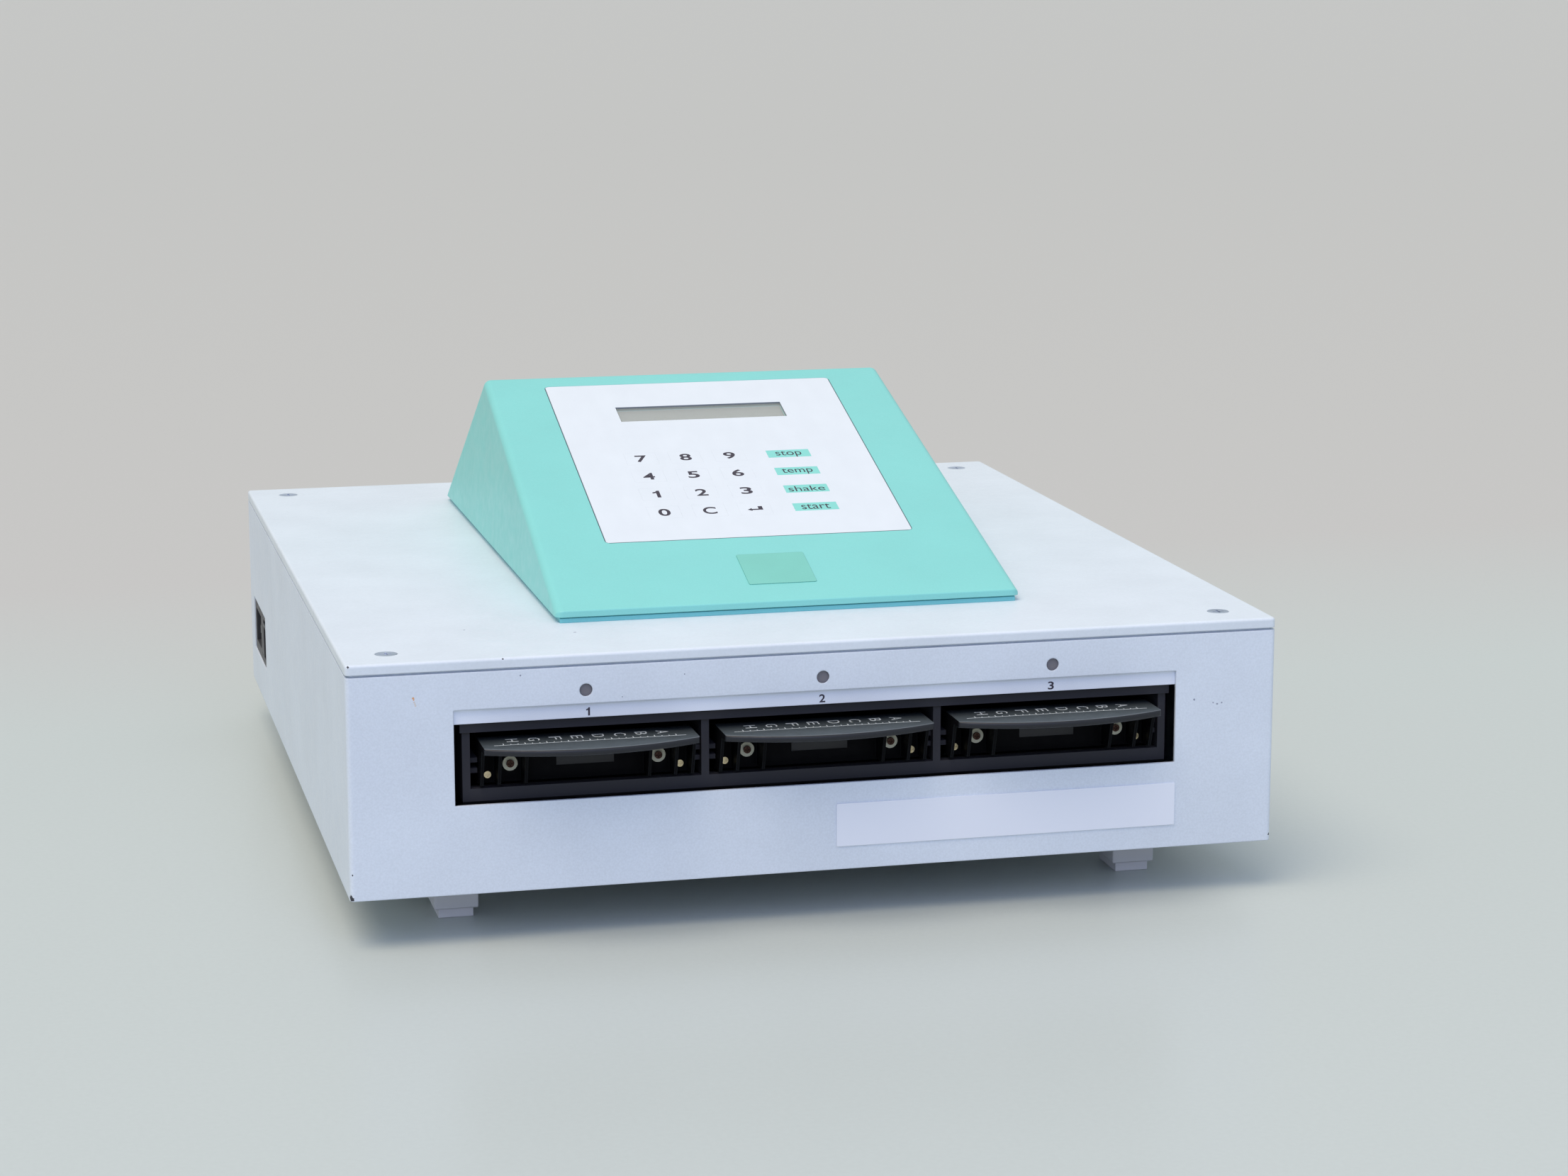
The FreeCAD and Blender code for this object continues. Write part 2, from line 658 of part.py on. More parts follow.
part(cut("top_lid", lid, *dishes))

# Lid screws with a cross recess, and the brackets inside the rim that they go into.
screws = []
brackets = []
head_wide = s.screw_dish - 4 * s.screw_clear
head_tall = s.dish_deep - s.screw_clear
for n, (x, y) in enumerate(posts):
    head_low = lid_top - s.dish_deep + s.screw_clear / 2
    head = cone(f"lid_screw_head_{n}", head_wide - 2 * head_tall, head_wide, head_tall, x, y, head_low)
    stem = rod(f"lid_screw_stem_{n}", s.screw_shank, s.screw_length, x, y, head_low - s.screw_length)
    whole = join(f"lid_screw_blank_{n}", head, stem)
    top = head_low + head_tall
    arm, slit = s.cross_arm, s.cross_half
    bars = [
        block(f"cross_x_{n}", (x - arm, y - slit, top - s.cross_deep), (x + arm, y + slit, top + 1)),
        block(f"cross_y_{n}", (x - slit, y - arm, top - s.cross_deep), (x + slit, y + arm, top + 1)),
    ]
    screws.append(cut(f"lid_screw_{n}", whole, *bars))
    side = n // 2 * 2 - 1
    inner, outer = side * (post_x - s.bracket_half), side * (half_width - rim_inner)
    left, right = (outer, inner) if side < 0 else (inner, outer)
    bracket = block(
        f"bracket_blank_{n}",
        (left, y - s.bracket_half, lid_under - s.bracket_tall),
        (right, y + s.bracket_half, lid_under),
    )
    bore = rod(f"bracket_bore_{n}", screw_hole, s.screw_length, x, y, lid_under - s.screw_length)
    brackets.append(cut(f"bracket_{n}", bracket, bore))
part(group("lid_screws", *screws))
part(group("lid_brackets", *brackets))

# Feet: a block screwed on from inside, with a narrower pad that stands on the table.
blocks = []
pads = []
foot_screws = []
for n, (x, y) in enumerate(feet):
    wide, deep = s.block_wide / 2, s.block_long / 2
    blank = block(f"foot_blank_{n}", (x - wide, y - deep, s.pad_tall), (x + wide, y + deep, case_low))
    hole = rod(f"foot_bore_{n}", screw_hole, s.screw_length, x, y, case_low - s.screw_length)
    blocks.append(cut(f"foot_block_{n}", blank, hole))
    wide, deep = wide - s.pad_inset, deep - s.pad_inset
    pads.append(block(f"foot_pad_{n}", (x - wide, y - deep, size(0)), (x + wide, y + deep, s.pad_tall)))
    stem_long = s.foot_screw_long + s.sheet_metal
    stem = rod(f"foot_screw_stem_{n}", s.screw_shank, stem_long, x, y, floor_top - stem_long)
    head = rod(f"foot_screw_head_{n}", s.pan_head, s.pan_tall, x, y, floor_top)
    foot_screws.append(join(f"foot_screw_{n}", stem, head))
part(group("foot_blocks", *blocks))
part(group("foot_pads", *pads))
part(group("foot_screws", *foot_screws))

# The number strip behind the top of the front opening, the lamps and the front label.
strip_low = slot_top - s.strip_show
wall_back = front + s.sheet_metal
strip = part(new_body("number_strip"))
outline = new_sketch(strip, "strip_plan", "XZ", -(wall_back + s.strip_thick))
strip_left, strip_right = slot_left - s.strip_lap, slot_right + s.strip_lap
draw_rectangle(outline, (strip_left, strip_low), (strip_right, slot_top + s.strip_lap / 2))
pad(strip, "strip_plate", outline, s.strip_thick)

lenses = []
for n, bay in enumerate(BAYS):
    x = bay * s.bay_pitch - s.lamp_shift
    recess = s.sheet_metal / 2
    barrel_wide = s.lamp_wide - 2 * s.screw_clear
    barrel = rod(f"lens_barrel_{n}", barrel_wide, s.lens_long, x, front + recess, lamp_height, "y")
    collar = rod(f"lens_collar_{n}", s.lens_collar, s.sheet_metal, x, wall_back, lamp_height, "y")
    lenses.append(join(f"lens_{n}", barrel, collar))
part(group("indicator_lenses", *lenses))

label_right = half_width - s.label_right
label_top = lid_top - s.label_drop
label = part(new_body("front_label"))
outline = new_sketch(label, "label_plan", "XZ", -front)
label_low = (label_right - s.label_wide, label_top - s.label_tall)
draw_rounded(outline, label_low, (label_right, label_top), s.label_round)
pad(label, "label_plate", outline, s.label_thick)

# The console: a sloping housing on the lid, its wall offset inwards from the same planes.
base_top = lid_top + s.console_base_tall
shell_low = base_top + s.console_groove
arris_y = console_y
arris_z = lid_top + s.console_band
slope_sin, slope_cos = trig("sin", s.console_slope), trig("cos", s.console_slope)
slope_tan = trig("tan", s.console_slope)
ridge_z = arris_z + s.console_run * slope_tan
ridge_y = arris_y + s.console_run
back_foot_y = ridge_y + s.console_ridge + s.console_back
rise = ridge_z - shell_low
half_foot, half_ridge = s.console_wide / 2, s.console_top_wide / 2


def console_rectangle(body, name, height, half_wide, near, far):
    """A level rectangle of the console at one height."""
    sketch = new_sketch(body, name, offset=height)
    draw_rectangle(sketch, (console_middle - half_wide, near), (console_middle + half_wide, far))
    return sketch


def slope_sketch(body, name, depth=0):
    """A sketch on the sloping panel: x across from its middle, y up the slope."""
    sketch = new_sketch(body, name)
    turn = FreeCAD.Rotation(FreeCAD.Vector(1, 0, 0), s.console_slope.number)
    sketch.AttachmentOffset = FreeCAD.Placement(FreeCAD.Vector(), turn)
    spot = slope_point(0, 0, -size(depth))
    for letter, value in zip("xyz", spot):
        sketch.setExpression(f".AttachmentOffset.Base.{letter}", value.text)
    sketch.setExpression(".AttachmentOffset.Rotation.Angle", s.console_slope.text)
    return sketch


def slope_point(x, up, out):
    """A point by its place on the sloping panel and its height over it."""
    up, out = size(up), size(out)
    return (
        console_middle + x,
        arris_y + up * slope_cos - out * slope_sin,
        arris_z + up * slope_sin + out * slope_cos,
    )


def on_slope(item, x, up, out):
    """Lay an object on the sloping panel."""
    return place(item, *slope_point(x, up, out), (1, 0, 0), s.console_slope)


def loft(body, kind, name, lower, upper):
    """A straight-sided solid, or hollow, between two sketches."""
    feature = body.newObject(f"PartDesign::{kind}Loft", name)
    feature.Profile = lower
    feature.Sections = [upper]
    feature.Ruled = True
    return feature


shell = part(new_body("console_shell"))
profile = new_sketch(shell, "shell_profile", "YZ", console_middle)
draw_polygon(
    profile,
    [
        (console_y, shell_low),
        (console_y, arris_z),
        (ridge_y, ridge_z),
        (ridge_y + s.console_ridge, ridge_z),
        (back_foot_y, shell_low),
    ],
)
pad(shell, "shell_block", profile, s.console_wide, both_ways=True)
sides = new_sketch(shell, "shell_side_plan", "XZ", -back_foot_y - 1)
for side in (-1, 1):
    foot, top = console_middle + side * half_foot, console_middle + side * half_ridge
    draw_polygon(sides, [(foot, shell_low), (foot + side, shell_low), (foot + side, ridge_z), (top, ridge_z)])
side_cut = pocket(shell, "shell_sides", sides)
side_cut.Reversed = True
round_edges(
    shell,
    "shell_edges",
    s.console_round,
    lambda ends: max(p.z for p in ends) > ridge_z.number - 0.01
    or (max(p.y for p in ends) < console_y.number + 0.01 and abs(ends[0].x - ends[-1].x) < 1),
)
round_edges(
    shell,
    "shell_arris",
    s.arris_round,
    lambda ends: min(p.z for p in ends) > arris_z.number - 1
    and max(p.z for p in ends) < arris_z.number + 1
    and abs(ends[0].x - ends[-1].x) > s.console_round.number,
)
back_tan = rise / s.console_back
back_sin = Size(math.sin(math.atan(back_tan.number)), f"sin(atan({back_tan.text}))")
front_shift = s.console_wall / slope_sin
back_shift = s.console_wall / back_sin
inner_drop = (front_shift + back_shift) / (1 / slope_tan + 1 / back_tan)
side_lean = (half_foot - half_ridge) / rise
inner_ridge_z = ridge_z - inner_drop
inner_ridge_y = ridge_y - inner_drop / slope_tan + front_shift
inner_half_ridge = half_ridge + side_lean * inner_drop - s.console_wall
inner_ridge_far = inner_ridge_y + s.console_ridge
hollow_near = arris_y + front_shift - (arris_z - shell_low) / slope_tan
lower = console_rectangle(
    shell, "hollow_foot_plan", shell_low, half_foot - s.console_wall, hollow_near, back_foot_y - back_shift
)
upper = console_rectangle(
    shell, "hollow_ridge_plan", inner_ridge_z, inner_half_ridge, inner_ridge_y, inner_ridge_far
)
loft(shell, "Subtractive", "hood_inside", lower, upper)

overlay_half = s.overlay_wide / 2
overlay_high = s.overlay_low + s.overlay_long
gap = s.overlay_clear
recess = slope_sketch(shell, "overlay_recess_plan")
draw_rounded(
    recess,
    (-overlay_half - gap, s.overlay_low - gap),
    (overlay_half + gap, overlay_high + gap),
    s.overlay_round,
)
pocket(shell, "overlay_recess", recess, s.overlay_thick)

key_right = s.bar_key_at + s.bar_key_wide / 2
key_high = s.key_low + 3 * s.key_up
backing_low = (s.key_left - s.key_wide / 2 - s.key_margin, s.key_low - s.key_long / 2 - s.key_margin)
backing_high = (key_right + s.key_margin, key_high + s.key_long / 2 + s.key_margin)
well = slope_sketch(shell, "backing_recess_plan")
draw_rectangle(
    well, (backing_low[0] - gap, backing_low[1] - gap), (backing_high[0] + gap, backing_high[1] + gap)
)
backing_under = s.overlay_thick + s.backing_thick
pocket(shell, "backing_recess", well, backing_under)

window_half = s.window_wide / 2
window_high = s.window_low + s.window_long
lap = s.window_lap
well = slope_sketch(shell, "window_recess_plan")
draw_rectangle(
    well,
    (-window_half - lap - gap, s.window_low - lap - gap),
    (window_half + lap + gap, window_high + lap + gap),
)
window_under = s.overlay_thick + s.window_thick
pocket(shell, "window_recess", well, window_under)
well = slope_sketch(shell, "window_hole_plan")
draw_rectangle(well, (-window_half, s.window_low), (window_half, window_high))
pocket(shell, "window_hole", well, 2 * s.console_wall)

# The console's base plate, with a groove above it and bosses for the screws.
base = part(new_body("console_base"))
base_half = half_foot - s.groove_deep / 2 - s.base_side
for name, inset, low, tall in (
    ("base_plate", s.groove_deep / 2, lid_top, s.console_base_tall),
    ("neck", s.groove_deep, base_top, s.console_groove),
):
    near, far = console_y + inset, back_foot_y - inset
    outline = console_rectangle(base, name + "_plan", low, base_half, near, far)
    pad(base, name, outline, tall)
outline = new_sketch(base, "boss_plan", offset=lid_top)
for x, y in bosses:
    draw_circle(outline, x, y, s.boss_wide)
pad(base, "bosses", outline, s.boss_tall + s.console_base_tall)
boss_holes = new_sketch(base, "boss_hole_plan", offset=lid_top + s.boss_tall)
for x, y in bosses:
    draw_circle(boss_holes, x, y, screw_hole)
pocket(base, "boss_holes", boss_holes, 2 * s.boss_tall)
cable = new_sketch(base, "cable_hole_plan", offset=shell_low + 1)
draw_circle(cable, console_middle, cable_y, s.cable_hole)
pocket(base, "cable_hole", cable, 4 * s.console_band)

console_screws = []
for n, (x, y) in enumerate(bosses):
    stem = rod(f"console_screw_stem_{n}", s.screw_shank, s.boss_tall, x, y, lid_under)
    head = rod(f"console_screw_head_{n}", s.pan_head, s.pan_tall, x, y, lid_under - s.pan_tall)
    console_screws.append(join(f"console_screw_{n}", stem, head))
part(group("console_screws", *console_screws))

# Keys: three digit columns and a column of wider function keys.
keys = []
for row, names in enumerate(KEY_NAMES):
    up = s.key_low + row * s.key_up
    for column, name in enumerate(names):
        keys.append((name, s.key_left + column * s.key_across, up, s.key_wide, s.key_long))
    keys.append((BAR_KEY_NAMES[row], s.bar_key_at, up + s.bar_key_drop, s.bar_key_wide, s.bar_key_long))

overlay = part(new_body("keypad_overlay"))
outline = slope_sketch(overlay, "overlay_plan", s.overlay_thick)
draw_rounded(outline, (-overlay_half, s.overlay_low), (overlay_half, overlay_high), s.overlay_round)
draw_rectangle(outline, (-window_half, s.window_low), (window_half, window_high))
for name, x, up, wide, long in keys:
    draw_rectangle(outline, (x - wide / 2, up - long / 2), (x + wide / 2, up + long / 2))
pad(overlay, "overlay_sheet", outline, s.overlay_thick)

backing = part(new_body("keypad_backing"))
outline = slope_sketch(backing, "backing_plan", backing_under)
draw_rectangle(outline, backing_low, backing_high)
pad(backing, "backing_sheet", outline, s.backing_thick)
wells = slope_sketch(backing, "key_well_plan", s.overlay_thick)
for name, x, up, wide, long in keys:
    draw_rectangle(wells, (x - wide / 2, up - long / 2), (x + wide / 2, up + long / 2))
pocket(backing, "key_wells", wells, s.key_travel * 2)

for name, x, up, wide, long in keys:
    key = part(new_body("key_" + name))
    outline = slope_sketch(key, f"key_{name}_plan", s.overlay_thick)
    draw_rectangle(
        outline,
        (x - wide / 2 + s.key_clear, up - long / 2 + s.key_clear),
        (x + wide / 2 - s.key_clear, up + long / 2 - s.key_clear),
    )
    pad(key, f"key_{name}_cap", outline, s.overlay_thick)
    outline = slope_sketch(key, f"key_{name}_stud_plan", s.overlay_thick + s.key_travel)
    draw_circle(outline, x, up, long / 2)
    pad(key, f"key_{name}_stud", outline, s.key_travel + s.overlay_thick / 2)

part(
    block(
        "display_window",
        (-window_half - lap, s.window_low - lap, -window_under),
        (window_half + lap, window_high + lap, -s.overlay_thick),
        on_slope,
    )
)
part(
    block(
        "display_module",
        (-window_half - s.display_lap, s.window_low - s.display_lap, -s.console_wall - s.display_thick),
        (window_half + s.display_lap, window_high + s.display_lap, -s.console_wall),
        on_slope,
    )
)
badge = part(new_body("badge_plate"))
outline = slope_sketch(badge, "badge_plan")
badge_half, badge_high = s.badge_wide / 2, s.badge_low + s.badge_long
draw_rounded(outline, (-badge_half, s.badge_low), (badge_half, badge_high), s.badge_round)
pad(badge, "badge_sheet", outline, s.badge_thick)

# The shaken carriage: platform, bay frame, heated bases below and heated covers above.
frame_y = front + s.frame_front
frame_back_y = frame_y + s.frame_long
frame_top = lid_top - s.frame_drop
frame_low = lid_top - s.frame_low
bay_half = (s.bay_pitch - s.bar_wide) / 2
frame_half = s.bay_pitch + bay_half + s.bar_wide
bay_front = frame_y + s.bar_wide
bay_back = frame_back_y - s.frame_back
window_top = frame_top - s.head_bar
window_bottom = frame_low + s.bar_low
runner_z = lid_top - s.runner_drop
rail_gap = s.runner_thick / 2 + s.rail_clear
rail_inner = s.tray_wide / 2 + s.rail_clear

frame = part(new_body("bay_frame"))
outline = new_sketch(frame, "frame_plan", offset=frame_low)
draw_rectangle(outline, (-frame_half, frame_y), (frame_half, frame_back_y))
for bay in BAYS:
    middle = bay * s.bay_pitch
    draw_rectangle(outline, (middle - bay_half, bay_front), (middle + bay_half, bay_back))
pad(frame, "frame_walls", outline, frame_top - frame_low)
outline = new_sketch(frame, "head_bar_plan", offset=window_top)
head_half = frame_half + s.head_side
draw_rectangle(outline, (-head_half, frame_y - s.head_step), (head_half, frame_y))
pad(frame, "head_bar", outline, s.head_bar)
windows = new_sketch(frame, "bay_window_plan", "XZ", -frame_y)
for bay in BAYS:
    middle = bay * s.bay_pitch
    draw_rectangle(windows, (middle - bay_half, window_bottom), (middle + bay_half, window_top))
pocket(frame, "bay_windows", windows, s.bar_wide)
rails = new_sketch(frame, "rail_profile", "XZ", -bay_front)
for bay in BAYS:
    for side in (-1, 1):
        wall = bay * s.bay_pitch + side * bay_half
        inner = bay * s.bay_pitch + side * rail_inner
        left, right = (wall, inner) if side < 0 else (inner, wall)
        for low in (runner_z + rail_gap, runner_z - rail_gap - s.rail_thick):
            draw_rectangle(rails, (left, low), (right, low + s.rail_thick))
rail_pad = pad(frame, "rails", rails, bay_back - bay_front)
rail_pad.Reversed = True

platform_low = frame_low - s.platform_thick
crank_y = front + s.crank_back
idler_x = foot_x - s.idler_inset
idlers = [("left", -idler_x), ("right", idler_x)]
idler_y = front + s.idler_back
crank_pins = [(size(0), crank_y)] + [(x, idler_y) for _, x in idlers]
platform = part(new_body("shaker_platform"))
outline = new_sketch(platform, "platform_plan", offset=platform_low)
draw_rectangle(outline, (-frame_half, frame_y), (frame_half, frame_back_y))
for x, y in crank_pins:
    draw_circle(outline, x, y, s.pin_wide + 2 * s.running_clear)
pad(platform, "platform_plate", outline, s.platform_thick)

tray_low = lid_top - s.tray_low
base_top_z = tray_low - s.base_gap
bases = []
covers = []
for n, bay in enumerate(BAYS):
    middle = bay * s.bay_pitch
    half = bay_half - s.base_clear
    bases.append(
        block(
            f"heated_base_{n}",
            (middle - half, bay_front + s.base_clear, frame_low),
            (middle + half, bay_back - s.base_clear, base_top_z),
        )
    )
    half = s.bay_pitch / 2 - s.base_clear
    plate = block(
        f"cover_plate_{n}",
        (middle - half, frame_y, frame_top),
        (middle + half, frame_back_y, frame_top + s.cover_thick),
    )
    half = bay_half - s.cover_inset
    heater = block(
        f"cover_heater_{n}",
        (middle - half, bay_front + s.cover_inset, frame_top - s.cover_block),
        (middle + half, bay_back - s.cover_inset, frame_top + s.cover_thick / 2),
    )
    covers.append(join(f"heated_cover_{n}", plate, heater))
part(group("heated_bases", *bases))
part(group("heated_covers", *covers))


# Trays: an open frame with a ledge for the microplate, runners and a bowed handle on ribs.
handle_top = lid_top - s.tray_drop
handle_low = handle_top - s.handle_thick
tray_top = handle_top - s.plate_drop
tray_face = front + s.tray_wall_front
tray_back = tray_face + s.tray_long
half_tray = s.tray_wide / 2
handle_front = front - s.handle_end
bow_radius = (s.handle_bow * s.handle_bow + half_tray * half_tray) / (2 * s.handle_bow)


def draw_bowed_plate(sketch, middle, half, near, far, bow, radius):
    """A plate whose near edge is an arc that bows outwards."""
    left, right = (middle - half, near), (middle + half, near)
    top = [(middle + half, far), (middle - half, far)]
    arc = Part.Arc(vector(*right), vector(middle, near - bow), vector(*left))
    sketch.addGeometry(arc)
    corners = [right] + top + [left]
    for start, end in zip(corners, corners[1:]):
        sketch.addGeometry(Part.LineSegment(vector(*start), vector(*end)))
    for line, corner in enumerate(corners[:3], start=1):
        fix_point(sketch, line, 1, *corner)
    fix_point(sketch, 3, 2, *left)
    fix(sketch, "Radius", 0, value=radius)
    joints = [(1, 2, 2, 1), (2, 2, 3, 1)]
    arc_ends = [sketch.getPoint(0, 1), sketch.getPoint(0, 2)]
    left_first = arc_ends[0].x < arc_ends[1].x
    joints.append((0, 1 if left_first else 2, 3, 2))
    joints.append((0, 2 if left_first else 1, 1, 1))
    for ends in joints:
        sketch.addConstraint(Sketcher.Constraint("Coincident", *ends))


def make_tray(number, bay):
    """One tray, built in the middle bay's place and moved sideways to its own."""
    tray = new_body(f"tray_{number}")
    plan = new_sketch(tray, f"tray_{number}_handle_plan", offset=handle_low)
    draw_bowed_plate(plan, size(0), half_tray, handle_front, tray_face, s.handle_bow, bow_radius)
    pad(tray, f"tray_{number}_handle", plan, s.handle_thick)
    plan = new_sketch(tray, f"tray_{number}_wall_plan", offset=tray_low)
    draw_rectangle(plan, (-half_tray, tray_face), (half_tray, tray_back))
    pocket_half = half_tray - s.tray_wall
    near, far = tray_face + s.tray_front_wall, tray_back - s.tray_wall
    draw_rectangle(plan, (-pocket_half, near), (pocket_half, far))
    pad(tray, f"tray_{number}_walls", plan, tray_top - tray_low)
    plan = new_sketch(tray, f"tray_{number}_ledge_plan", offset=tray_low)
    draw_rectangle(plan, (-half_tray, tray_face), (half_tray, tray_back))
    edge = s.ledge_wide
    draw_rectangle(plan, (edge - pocket_half, near + edge), (pocket_half - edge, far - edge))
    pad(tray, f"tray_{number}_ledge", plan, s.ledge_thick)
    rib_low = tray_low + s.rib_clear
    outer = half_tray - s.rib_thick / 2
    for index, x in enumerate((-outer, -s.rib_outer, -s.rib_inner, s.rib_inner, s.rib_outer, outer)):
        profile = new_sketch(tray, f"tray_{number}_rib_{index}_profile", "YZ", x - s.rib_thick / 2)
        top_y = front - s.rib_reach
        rib_foot = (top_y + s.rib_slant, rib_low)
        draw_polygon(profile, [(top_y, handle_low), rib_foot, (tray_face, rib_low), (tray_face, handle_low)])
        pad(tray, f"tray_{number}_rib_{index}", profile, s.rib_thick)
    runner_y = tray_face + s.runner_start
    plan = new_sketch(tray, f"tray_{number}_runner_plan", offset=runner_z - s.runner_thick / 2)
    reach = bay_half - s.rail_clear
    draw_rectangle(plan, (-reach, runner_y), (-half_tray, tray_back))
    draw_rectangle(plan, (half_tray, runner_y), (reach, tray_back))
    pad(tray, f"tray_{number}_runners", plan, s.runner_thick)
    for side in ("washer", "corner"):
        holes = new_sketch(tray, f"tray_{number}_{side}_holes", "XZ", -tray_face)
        across = getattr(s, side + "_side")
        height = lid_top - getattr(s, side + "_drop")
        for sign in (-1, 1):
            draw_circle(holes, sign * across, height, s.tray_screw_shank + s.screw_clear)
        pocket(tray, f"tray_{number}_{side}_bores", holes, s.tray_screw_deep)
    tray.setExpression(".Placement.Base.x", (bay * s.bay_pitch).text)
    return tray


def make_tray_screw(name, x, y, z, head):
    """A pan screw whose head faces forwards, with a cross recess."""
    head_tall = s.tray_screw_head
    reach = tray_face - y + s.tray_screw_deep - s.screw_clear
    stem = rod(name + "_stem", s.tray_screw_shank, reach, x, y, z, "y")
    cap = rod(name + "_cap", head, head_tall, x, y - head_tall, z, "y")
    whole = join(name + "_blank", stem, cap)
    arm, slit, deep = head / 3, s.tray_screw_slit, head_tall / 2
    near = y - head_tall
    bars = [
        block(name + "_slit_a", (x - arm, near - 1, z - slit), (x + arm, near + deep, z + slit)),
        block(name + "_slit_b", (x - slit, near - 1, z - arm), (x + slit, near + deep, z + arm)),
    ]
    return cut(name, whole, *bars)


for number, bay in enumerate(BAYS, start=1):
    part(make_tray(number, bay))
    middle = bay * s.bay_pitch
    washers = []
    tray_screws = []
    washer_y = tray_face - s.washer_thick
    washer_z = lid_top - s.washer_drop
    corner_z = lid_top - s.corner_drop
    for sign in (-1, 1):
        tag = f"{number}_{'left' if sign < 0 else 'right'}"
        x = middle + sign * s.washer_side
        ring = rod(f"washer_ring_{tag}", s.washer_wide, s.washer_thick, x, washer_y, washer_z, "y")
        eye_wide = s.tray_screw_shank + s.screw_clear
        eye = rod(f"washer_eye_{tag}", eye_wide, s.washer_thick, x, washer_y, washer_z, "y")
        washers.append(cut(f"washer_{tag}", ring, eye))
        tray_screws.append(make_tray_screw(f"washer_screw_{tag}", x, washer_y, washer_z, s.washer_screw))
        x = middle + sign * s.corner_side
        tray_screws.append(make_tray_screw(f"corner_screw_{tag}", x, tray_face, corner_z, s.corner_screw))
    part(group(f"tray_{number}_washers", *washers))
    part(group(f"tray_{number}_screws", *tray_screws))

# The drive: three cranks of one throw, the middle one turned by a belt.
flange_top = platform_low - s.flange_gap
flange_low = flange_top - s.flange_thick
hub_top = flange_low - s.hub_gap
drive_plate_top = floor_top + s.drive_plate_thick
shaft_y = crank_y + s.throw
belt_low = flange_low + (s.flange_thick - s.belt_wide) / 2
belt_top = belt_low + s.belt_wide
pulley_seat = s.pulley_wide - 2 * s.pulley_rim
motor_seat = pulley_seat / s.belt_ratio
motor_y = front + s.motor_back


def make_crank(name, pin_x, pin_y, flange_wide):
    """A crank: shaft, flange and a pin set off from the shaft by the throw."""
    crank = new_body(name)
    centre_y = pin_y + s.throw
    for tag, low, high, y, wide in (
        ("shaft", drive_plate_top, flange_top, centre_y, s.shaft_wide),
        ("flange", flange_low, flange_top, centre_y, flange_wide),
        ("pin", flange_top, frame_low - s.hub_gap, pin_y, s.pin_wide),
    ):
        sketch = new_sketch(crank, f"{name}_{tag}_plan", offset=low)
        draw_circle(sketch, pin_x, y, wide)
        pad(crank, f"{name}_{tag}", sketch, high - low)
    return crank


def belt_groove(body, name, x, y, rim, seat):
    """Take the belt's seat out of a pulley."""
    ring = new_sketch(body, name + "_plan", offset=belt_top + s.belt_clear)
    draw_circle(ring, x, y, rim + 2)
    draw_circle(ring, x, y, seat)
    pocket(body, name, ring, s.belt_wide + 2 * s.belt_clear)


drive_crank = part(make_crank("drive_crank", size(0), crank_y, s.pulley_wide))
belt_groove(drive_crank, "drive_groove", size(0), shaft_y, s.pulley_wide, pulley_seat)
for name, x in idlers:
    part(make_crank(f"idler_crank_{name}", x, idler_y, s.idler_wide))

motor_rim = motor_seat + 2 * s.pulley_rim
motor_top = flange_low - s.motor_gap
pulley = part(new_body("motor_pulley"))
outline = new_sketch(pulley, "motor_shaft_plan", offset=drive_plate_top + s.hub_gap)
draw_circle(outline, size(0), motor_y, s.motor_shaft)
pad(pulley, "motor_shaft", outline, flange_top - drive_plate_top - s.hub_gap)
outline = new_sketch(pulley, "motor_rim_plan", offset=flange_low)
draw_circle(outline, size(0), motor_y, motor_rim)
pad(pulley, "motor_rim", outline, s.flange_thick)
belt_groove(pulley, "motor_groove", size(0), motor_y, motor_rim, motor_seat)

can = rod("motor_can", s.motor_wide, motor_top - drive_plate_top, size(0), motor_y, drive_plate_top)
can_bore = rod(
    "motor_bore",
    s.motor_shaft + 2 * s.running_clear,
    s.case_height,
    size(0),
    motor_y,
    drive_plate_top + s.hub_gap / 2,
)
part(cut("motor", can, can_bore))


def draw_belt_loop(sketch, near, near_radius, far, far_radius):
    """An outline round two pulleys: two arcs and the two lines that touch both."""
    first = sketch.GeometryCount
    span = (far - near).number
    lean = math.asin((near_radius - far_radius).number / span)
    up = FreeCAD.Vector(0, 0, 1)
    for centre, radius, begin, end in (
        (near, near_radius, math.pi - lean, 2 * math.pi + lean),
        (far, far_radius, lean, math.pi - lean),
    ):
        circle = Part.Circle(vector(0, centre), up, radius.number)
        sketch.addGeometry(Part.ArcOfCircle(circle, begin, end))
    near_arc, far_arc = first, first + 1
    ends = [(sketch.getPoint(near_arc, 2), sketch.getPoint(far_arc, 1))]
    ends.append((sketch.getPoint(far_arc, 2), sketch.getPoint(near_arc, 1)))
    for start, end in ends:
        sketch.addGeometry(Part.LineSegment(start, end))
    for arc, centre, radius in ((near_arc, near, near_radius), (far_arc, far, far_radius)):
        fix_point(sketch, arc, 3, 0, centre)
        fix(sketch, "Radius", arc, value=radius)
    loop = (near_arc, first + 2, far_arc, first + 3)
    for index, curve in enumerate(loop):
        sketch.addConstraint(Sketcher.Constraint("Tangent", curve, 2, loop[(index + 1) % 4], 1))


belt = part(new_body("drive_belt"))
outline = new_sketch(belt, "belt_plan", offset=belt_low)
for thick in (s.belt_clear, s.belt_clear + s.belt_thick):
    draw_belt_loop(outline, shaft_y, pulley_seat / 2 + thick, motor_y, motor_seat / 2 + thick)
pad(belt, "belt_loop", outline, s.belt_wide)

